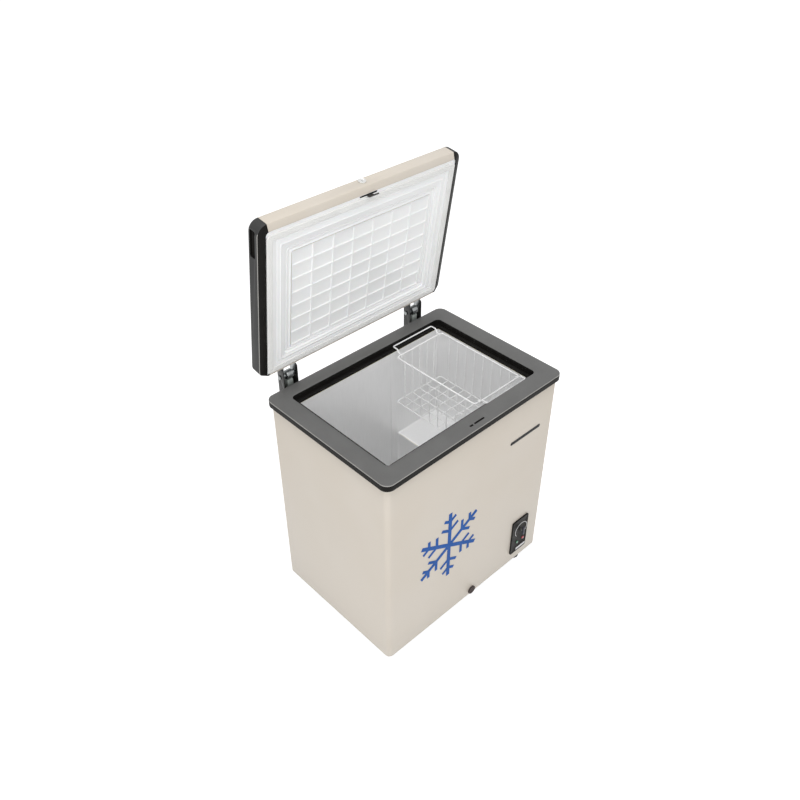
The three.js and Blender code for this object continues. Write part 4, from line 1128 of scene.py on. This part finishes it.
def thermostat_knob():
    """Knob with a ribbed skirt, a domed boss and a grip across it."""
    skirt = bar((knob_x, panel_face - 5.3 * MM, knob_z), (knob_x, panel_face - 0.6 * MM, knob_z), 17.6 * MM, 72)
    wake(skirt)
    choose(skirt, "FACE", lambda f: abs(f.normal.y) < 0.1
           and int(round(math.degrees(math.atan2(f.normal.z, f.normal.x)) / 5)) % 2 == 0)
    bpy.ops.mesh.inset(thickness=0.12 * MM, depth=0.4 * MM, use_individual=True)
    choose(skirt, "FACE", faces_front)
    bpy.ops.mesh.inset(thickness=1.6 * MM)
    bpy.ops.mesh.inset(thickness=0.8 * MM, depth=-0.4 * MM)
    rest()
    boss = bar((knob_x, panel_face - 9.6 * MM, knob_z), (knob_x, panel_face - 5 * MM, knob_z), 14 * MM, 64)
    soften(boss, 1.4, 4, 40)
    grip = block((knob_x - 3.4 * MM, panel_face - 12 * MM, knob_z - 14.6 * MM),
                 (knob_x + 3.4 * MM, panel_face - 6 * MM, knob_z + 14.6 * MM))
    soften(grip, 1.3, 4)
    fuse(skirt, boss, grip)
    carve(skirt, bar((knob_x, panel_face - 8.3 * MM, knob_z), (knob_x, panel_face + MM, knob_z), 3.3 * MM, 24))
    return settle(skirt, "knob_moulding", "knob", "knob_grey", "thermostat_knob", angle=30)


thermostat_knob()


def lamp_lens(name, slot):
    """Round lens with a domed front."""
    low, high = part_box(name)
    x, z = (low.x + high.x) / 2, (low.z + high.z) / 2
    piece = bar((x, low.y, z), (x, high.y, z), 4.5 * MM, 40)
    soften(piece, 1.4, 5, 40)
    return settle(piece, name + "_lens", "cabinet", slot, name)


lamp_lens("power_lamp", "lens_green")
lamp_lens("alarm_lamp", "lens_red")

# ---------- lid parts that show only from behind or below ----------


def hinge_leaf(side, name):
    """Folded leaf screwed to the lid's back: two arms that ride on the pin, with a cam between them."""
    middle = side * hinge_x
    lid_back = skin_high.y
    base = lid_base
    leaf_half = HINGE_HALF - HINGE_PLATE - 0.3 * MM
    face = lid_back + 0.3 * MM
    outline = [(face, base + 6 * MM), (lid_back + 12 * MM, base + 6 * MM)]
    outline += arc(pivot_y, pivot_z, 9 * MM, -90, 60, 12)
    outline += [(pivot_y + 6 * MM, pivot_z + 8 * MM), (lid_back + 8 * MM, base + 34 * MM), (face, base + 34 * MM)]
    parts = []
    for way in (-1, 1):
        ends = sorted((middle + way * leaf_half, middle + way * (leaf_half - LEAF_PLATE)))
        parts.append(pressing(outline, *ends))
    parts.append(block((middle - leaf_half, face, base + 4 * MM),
                       (middle + leaf_half, face + LEAF_PLATE, base + 38 * MM)))
    cup_low, cup_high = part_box("spring_cup_" + name)
    lean = math.radians(45)
    cam = Vector((middle, pivot_y - 5 * MM * math.sin(lean), pivot_z - 5 * MM * math.cos(lean)))
    parts.append(bar((cup_low.x, cam.y, cam.z), (cup_high.x, cam.y, cam.z), 12 * MM, 48))
    parts.append(bar((middle - leaf_half + MM, pivot_y, pivot_z), (middle + leaf_half - MM, pivot_y, pivot_z),
                     6.6 * MM, 40))
    piece = fuse(*parts)
    carve(piece, bar((middle - 30 * MM, pivot_y, pivot_z), (middle + 30 * MM, pivot_y, pivot_z), PIN_BORE, 32))
    soften(piece, 0.5, 2, 40)
    raise_with_lid(piece)
    return settle(piece, "hinge_arm_" + name, "lid", "bright_steel", "hinge_leaf_" + name)


def spring_cup(side, name):
    """Moulded slider: a square cup with rounded corners and a hard top that the cam presses."""
    low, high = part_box("spring_cup_" + name)
    piece = block(low, high)
    soften(piece, 1.8, 4)
    middle = (low + high) / 2
    carve(piece, bar((middle.x, middle.y, low.z - MM), (middle.x, middle.y, high.z - 3 * MM), 7.6 * MM, 40))
    return settle(piece, "slider_cup_" + name, "spring_slider_" + name, "cup_grey", "spring_cup_" + name)


for side, name in ((-1, "left"), (1, "right")):
    hinge_leaf(side, name)
    spring_cup(side, name)

# ---------- plugs and feet ----------

DRAIN_STEM = 6 * MM


def front_drain_plug():
    """Rubber bung in the front: a domed head with a finger rim."""
    low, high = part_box("drain_plug")
    x, z = (low.x + high.x) / 2, (low.z + high.z) / 2
    radius = (high.x - low.x) / 2
    face = shell_low.y
    piece = bar((x, low.y, z), (x, face - 0.3 * MM, z), radius, 48)
    wake(piece)
    choose(piece, "FACE", faces_front)
    bpy.ops.mesh.inset(thickness=2.6 * MM)
    bpy.ops.mesh.inset(thickness=1.2 * MM, depth=-0.9 * MM)
    rest()
    soften(piece, 0.7, 3, 40)
    stem = bar((x, face - 1.2 * MM, z), (x, high.y, z), DRAIN_STEM, 32)
    fuse(piece, stem)
    return settle(piece, "front_bung", "drain_plug", "plug_brown", "drain_plug")


def foot(name):
    """Moulded rubber foot, slightly tapered, with a moulded rim and a recessed screw hole in its sole."""
    low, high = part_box(name)
    x, y = (low.x + high.x) / 2, (low.y + high.y) / 2
    radius = (high.x - low.x) / 2
    piece = bar((x, y, low.z), (x, y, high.z), radius, 56)
    wake(piece)
    choose(piece, "FACE", lambda f: f.normal.z < -0.9)
    bpy.ops.transform.resize(value=(0.94, 0.94, 1))
    bpy.ops.mesh.inset(thickness=4 * MM)
    bpy.ops.mesh.inset(thickness=1 * MM, depth=-1.2 * MM)
    bpy.ops.mesh.inset(thickness=5 * MM)
    bpy.ops.mesh.inset(thickness=0.4 * MM, depth=-3 * MM)
    rest()
    soften(piece, 0.8, 3, 40)
    return settle(piece, name + "_pad", "cabinet", "black_rubber", name)


front_drain_plug()
for name in ("foot_front_left", "foot_front_right", "foot_rear_left", "foot_rear_right"):
    foot(name)

# ---------- rear cover of the compressor bay ----------

cover_low, cover_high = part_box("compressor_cover")
gland_low, gland_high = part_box("cable_gland")
LOUVRE_PITCH = 16 * MM


def lowest(piece):
    """Height of the piece's lowest point."""
    return min(v.co.z for v in piece.data.vertices)


def compressor_cover():
    """Galvanised cover held by four screws, with louvres lanced and pushed out of the sheet."""
    sheet = shell_high.y + 0.3 * MM
    thick = 1.2 * MM
    piece = block((cover_low.x, sheet, cover_low.z), (cover_high.x, sheet + thick, cover_high.z))
    wake(piece)
    choose(piece, "EDGE", runs_back)
    bpy.ops.mesh.bevel(offset=4 * MM, segments=4)
    rest()
    left, right = cover_low.x + 22 * MM, cover_high.x - 22 * MM
    gland = ((gland_low.x + gland_high.x) / 2, (gland_low.z + gland_high.z) / 2)
    cuts = [bar((gland[0], sheet - MM, gland[1]), (gland[0], sheet + 6 * MM, gland[1]), 9.4 * MM, 40)]
    hoods = []
    z = cover_low.z + 60 * MM
    while z < cover_high.z - 24 * MM:
        cuts.append(block((left, sheet - MM, z), (right, sheet + 6 * MM, z + 6 * MM)))
        top = z + 6.8 * MM
        reach = sheet + 5.4 * MM
        outline = [(sheet, top), (sheet + thick, top)]
        outline += arc(reach - 4 * MM, z + 2.2 * MM, 4 * MM, 75, 0, 6)
        outline += [(reach, z - 0.6 * MM), (reach - MM, z - 0.6 * MM), (reach - MM, z + 2.2 * MM)]
        outline += arc(reach - 4 * MM, z + 2.2 * MM, 3 * MM, 10, 75, 5)
        hoods.append(pressing(outline, left - 2 * MM, right + 2 * MM))
        z += LOUVRE_PITCH
    carve(piece, *cuts)
    for hood in hoods:
        for x in (left - 2 * MM, right + 1 * MM):
            low = lowest(hood)
            fuse(hood, block((x, sheet + 0.4 * MM, low + 0.4 * MM), (x + MM, sheet + 4.4 * MM, low + 5 * MM)))
        fuse(piece, hood)
    soften(piece, 0.25, 2, 50)
    settle(piece, "louvred_cover", "cabinet", "galvanised", "compressor_cover")
    for x in (cover_low.x + 7 * MM, cover_high.x - 7 * MM):
        for z in (cover_low.z + 7 * MM, cover_high.z - 7 * MM):
            screw(x, sheet + thick, z, 3.4 * MM, "cover_screw")


compressor_cover()


# ---------- floor, lamps and camera ----------

def looked_at(tree):
    """1 for the camera's rays, reflected rays and rays through glass, 0 for the light that falls on the object."""
    path = add(tree, "ShaderNodeLightPath")
    seen = add(tree, "ShaderNodeMath", links={0: path.outputs["Is Camera Ray"], 1: path.outputs["Is Glossy Ray"]},
               operation="MAXIMUM")
    return add(tree, "ShaderNodeMath", links={0: seen.outputs[0], 1: path.outputs["Is Transmission Ray"]},
               operation="MAXIMUM").outputs[0]


def pale_surface(name, colour, lift):
    """Pale floor: white to the camera and in reflections, while it still takes the object's shadow."""
    material = bpy.data.materials.new(name)
    material.use_nodes = True
    tree = material.node_tree
    tree.nodes.clear()
    strength = add(tree, "ShaderNodeMath", {1: lift}, {0: looked_at(tree)}, operation="MULTIPLY")
    glow = add(tree, "ShaderNodeEmission", {"Color": (1, 1, 1, 1)}, {"Strength": strength.outputs[0]})
    paint = add(tree, "ShaderNodeBsdfDiffuse", {"Color": linear(colour)})
    both = add(tree, "ShaderNodeAddShader", links={0: paint.outputs[0], 1: glow.outputs[0]})
    add(tree, "ShaderNodeOutputMaterial", links={"Surface": both.outputs[0]})
    return material


floor_z = cad_low.z
bpy.ops.mesh.primitive_plane_add(size=60, location=(0, 0, floor_z - 0.0005))
floor = bpy.context.object
floor.name = "studio_floor"
floor.data.materials.append(pale_surface("pale_floor", "#E6E6E6", 0.66))

world = bpy.data.worlds.new("studio_light")
bpy.context.scene.world = world
world.use_nodes = True
sky = world.node_tree
sky.nodes.clear()
sky_level = add(sky, "ShaderNodeMapRange", {"To Min": 0.54, "To Max": 1.0}, {"Value": looked_at(sky)})
sky_colour = add(sky, "ShaderNodeBackground", {"Color": (1, 1, 1, 1)}, {"Strength": sky_level.outputs["Result"]})
add(sky, "ShaderNodeOutputWorld", links={"Surface": sky_colour.outputs[0]})


def soft_lamp(name, place, aim, size, power):
    """A square area lamp that faces its aim."""
    lamp = bpy.data.lights.new(name, "AREA")
    lamp.size = size
    lamp.energy = power
    thing = bpy.data.objects.new(name, lamp)
    bpy.context.scene.collection.objects.link(thing)
    thing.location = place
    thing.rotation_euler = (Vector(aim) - Vector(place)).to_track_quat("-Z", "Y").to_euler()


soft_lamp("overhead_softbox", (-0.6, -0.5, 3.4), (0, 0, 0.4), 2.4, 40)
soft_lamp("front_softbox", (-1.2, -3.2, 1.6), (0, 0, 0.4), 2.2, 27)
soft_lamp("left_softbox", (-3.2, -0.8, 1.5), (0, 0, 0.4), 2.2, 20)

CAMERA_AZIMUTH = math.radians(43.627)
CAMERA_ELEVATION = math.radians(38.165)
CAMERA_DISTANCE = 2.19724
CAMERA_AIM = Vector((0.00321, 0.04671, 0.55724))
lens = bpy.data.cameras.new("camera")
lens.lens = 37.63
lens.sensor_width = 36
camera = bpy.data.objects.new("camera", lens)
bpy.context.scene.collection.objects.link(camera)
ahead = Vector((
    math.cos(CAMERA_ELEVATION) * math.sin(CAMERA_AZIMUTH),
    math.cos(CAMERA_ELEVATION) * math.cos(CAMERA_AZIMUTH),
    -math.sin(CAMERA_ELEVATION),
))
camera.location = CAMERA_AIM - CAMERA_DISTANCE * ahead
camera.rotation_euler = (QUARTER - CAMERA_ELEVATION, 0, -CAMERA_AZIMUTH)
bpy.context.scene.camera = camera
bpy.context.scene.view_settings.view_transform = "Standard"
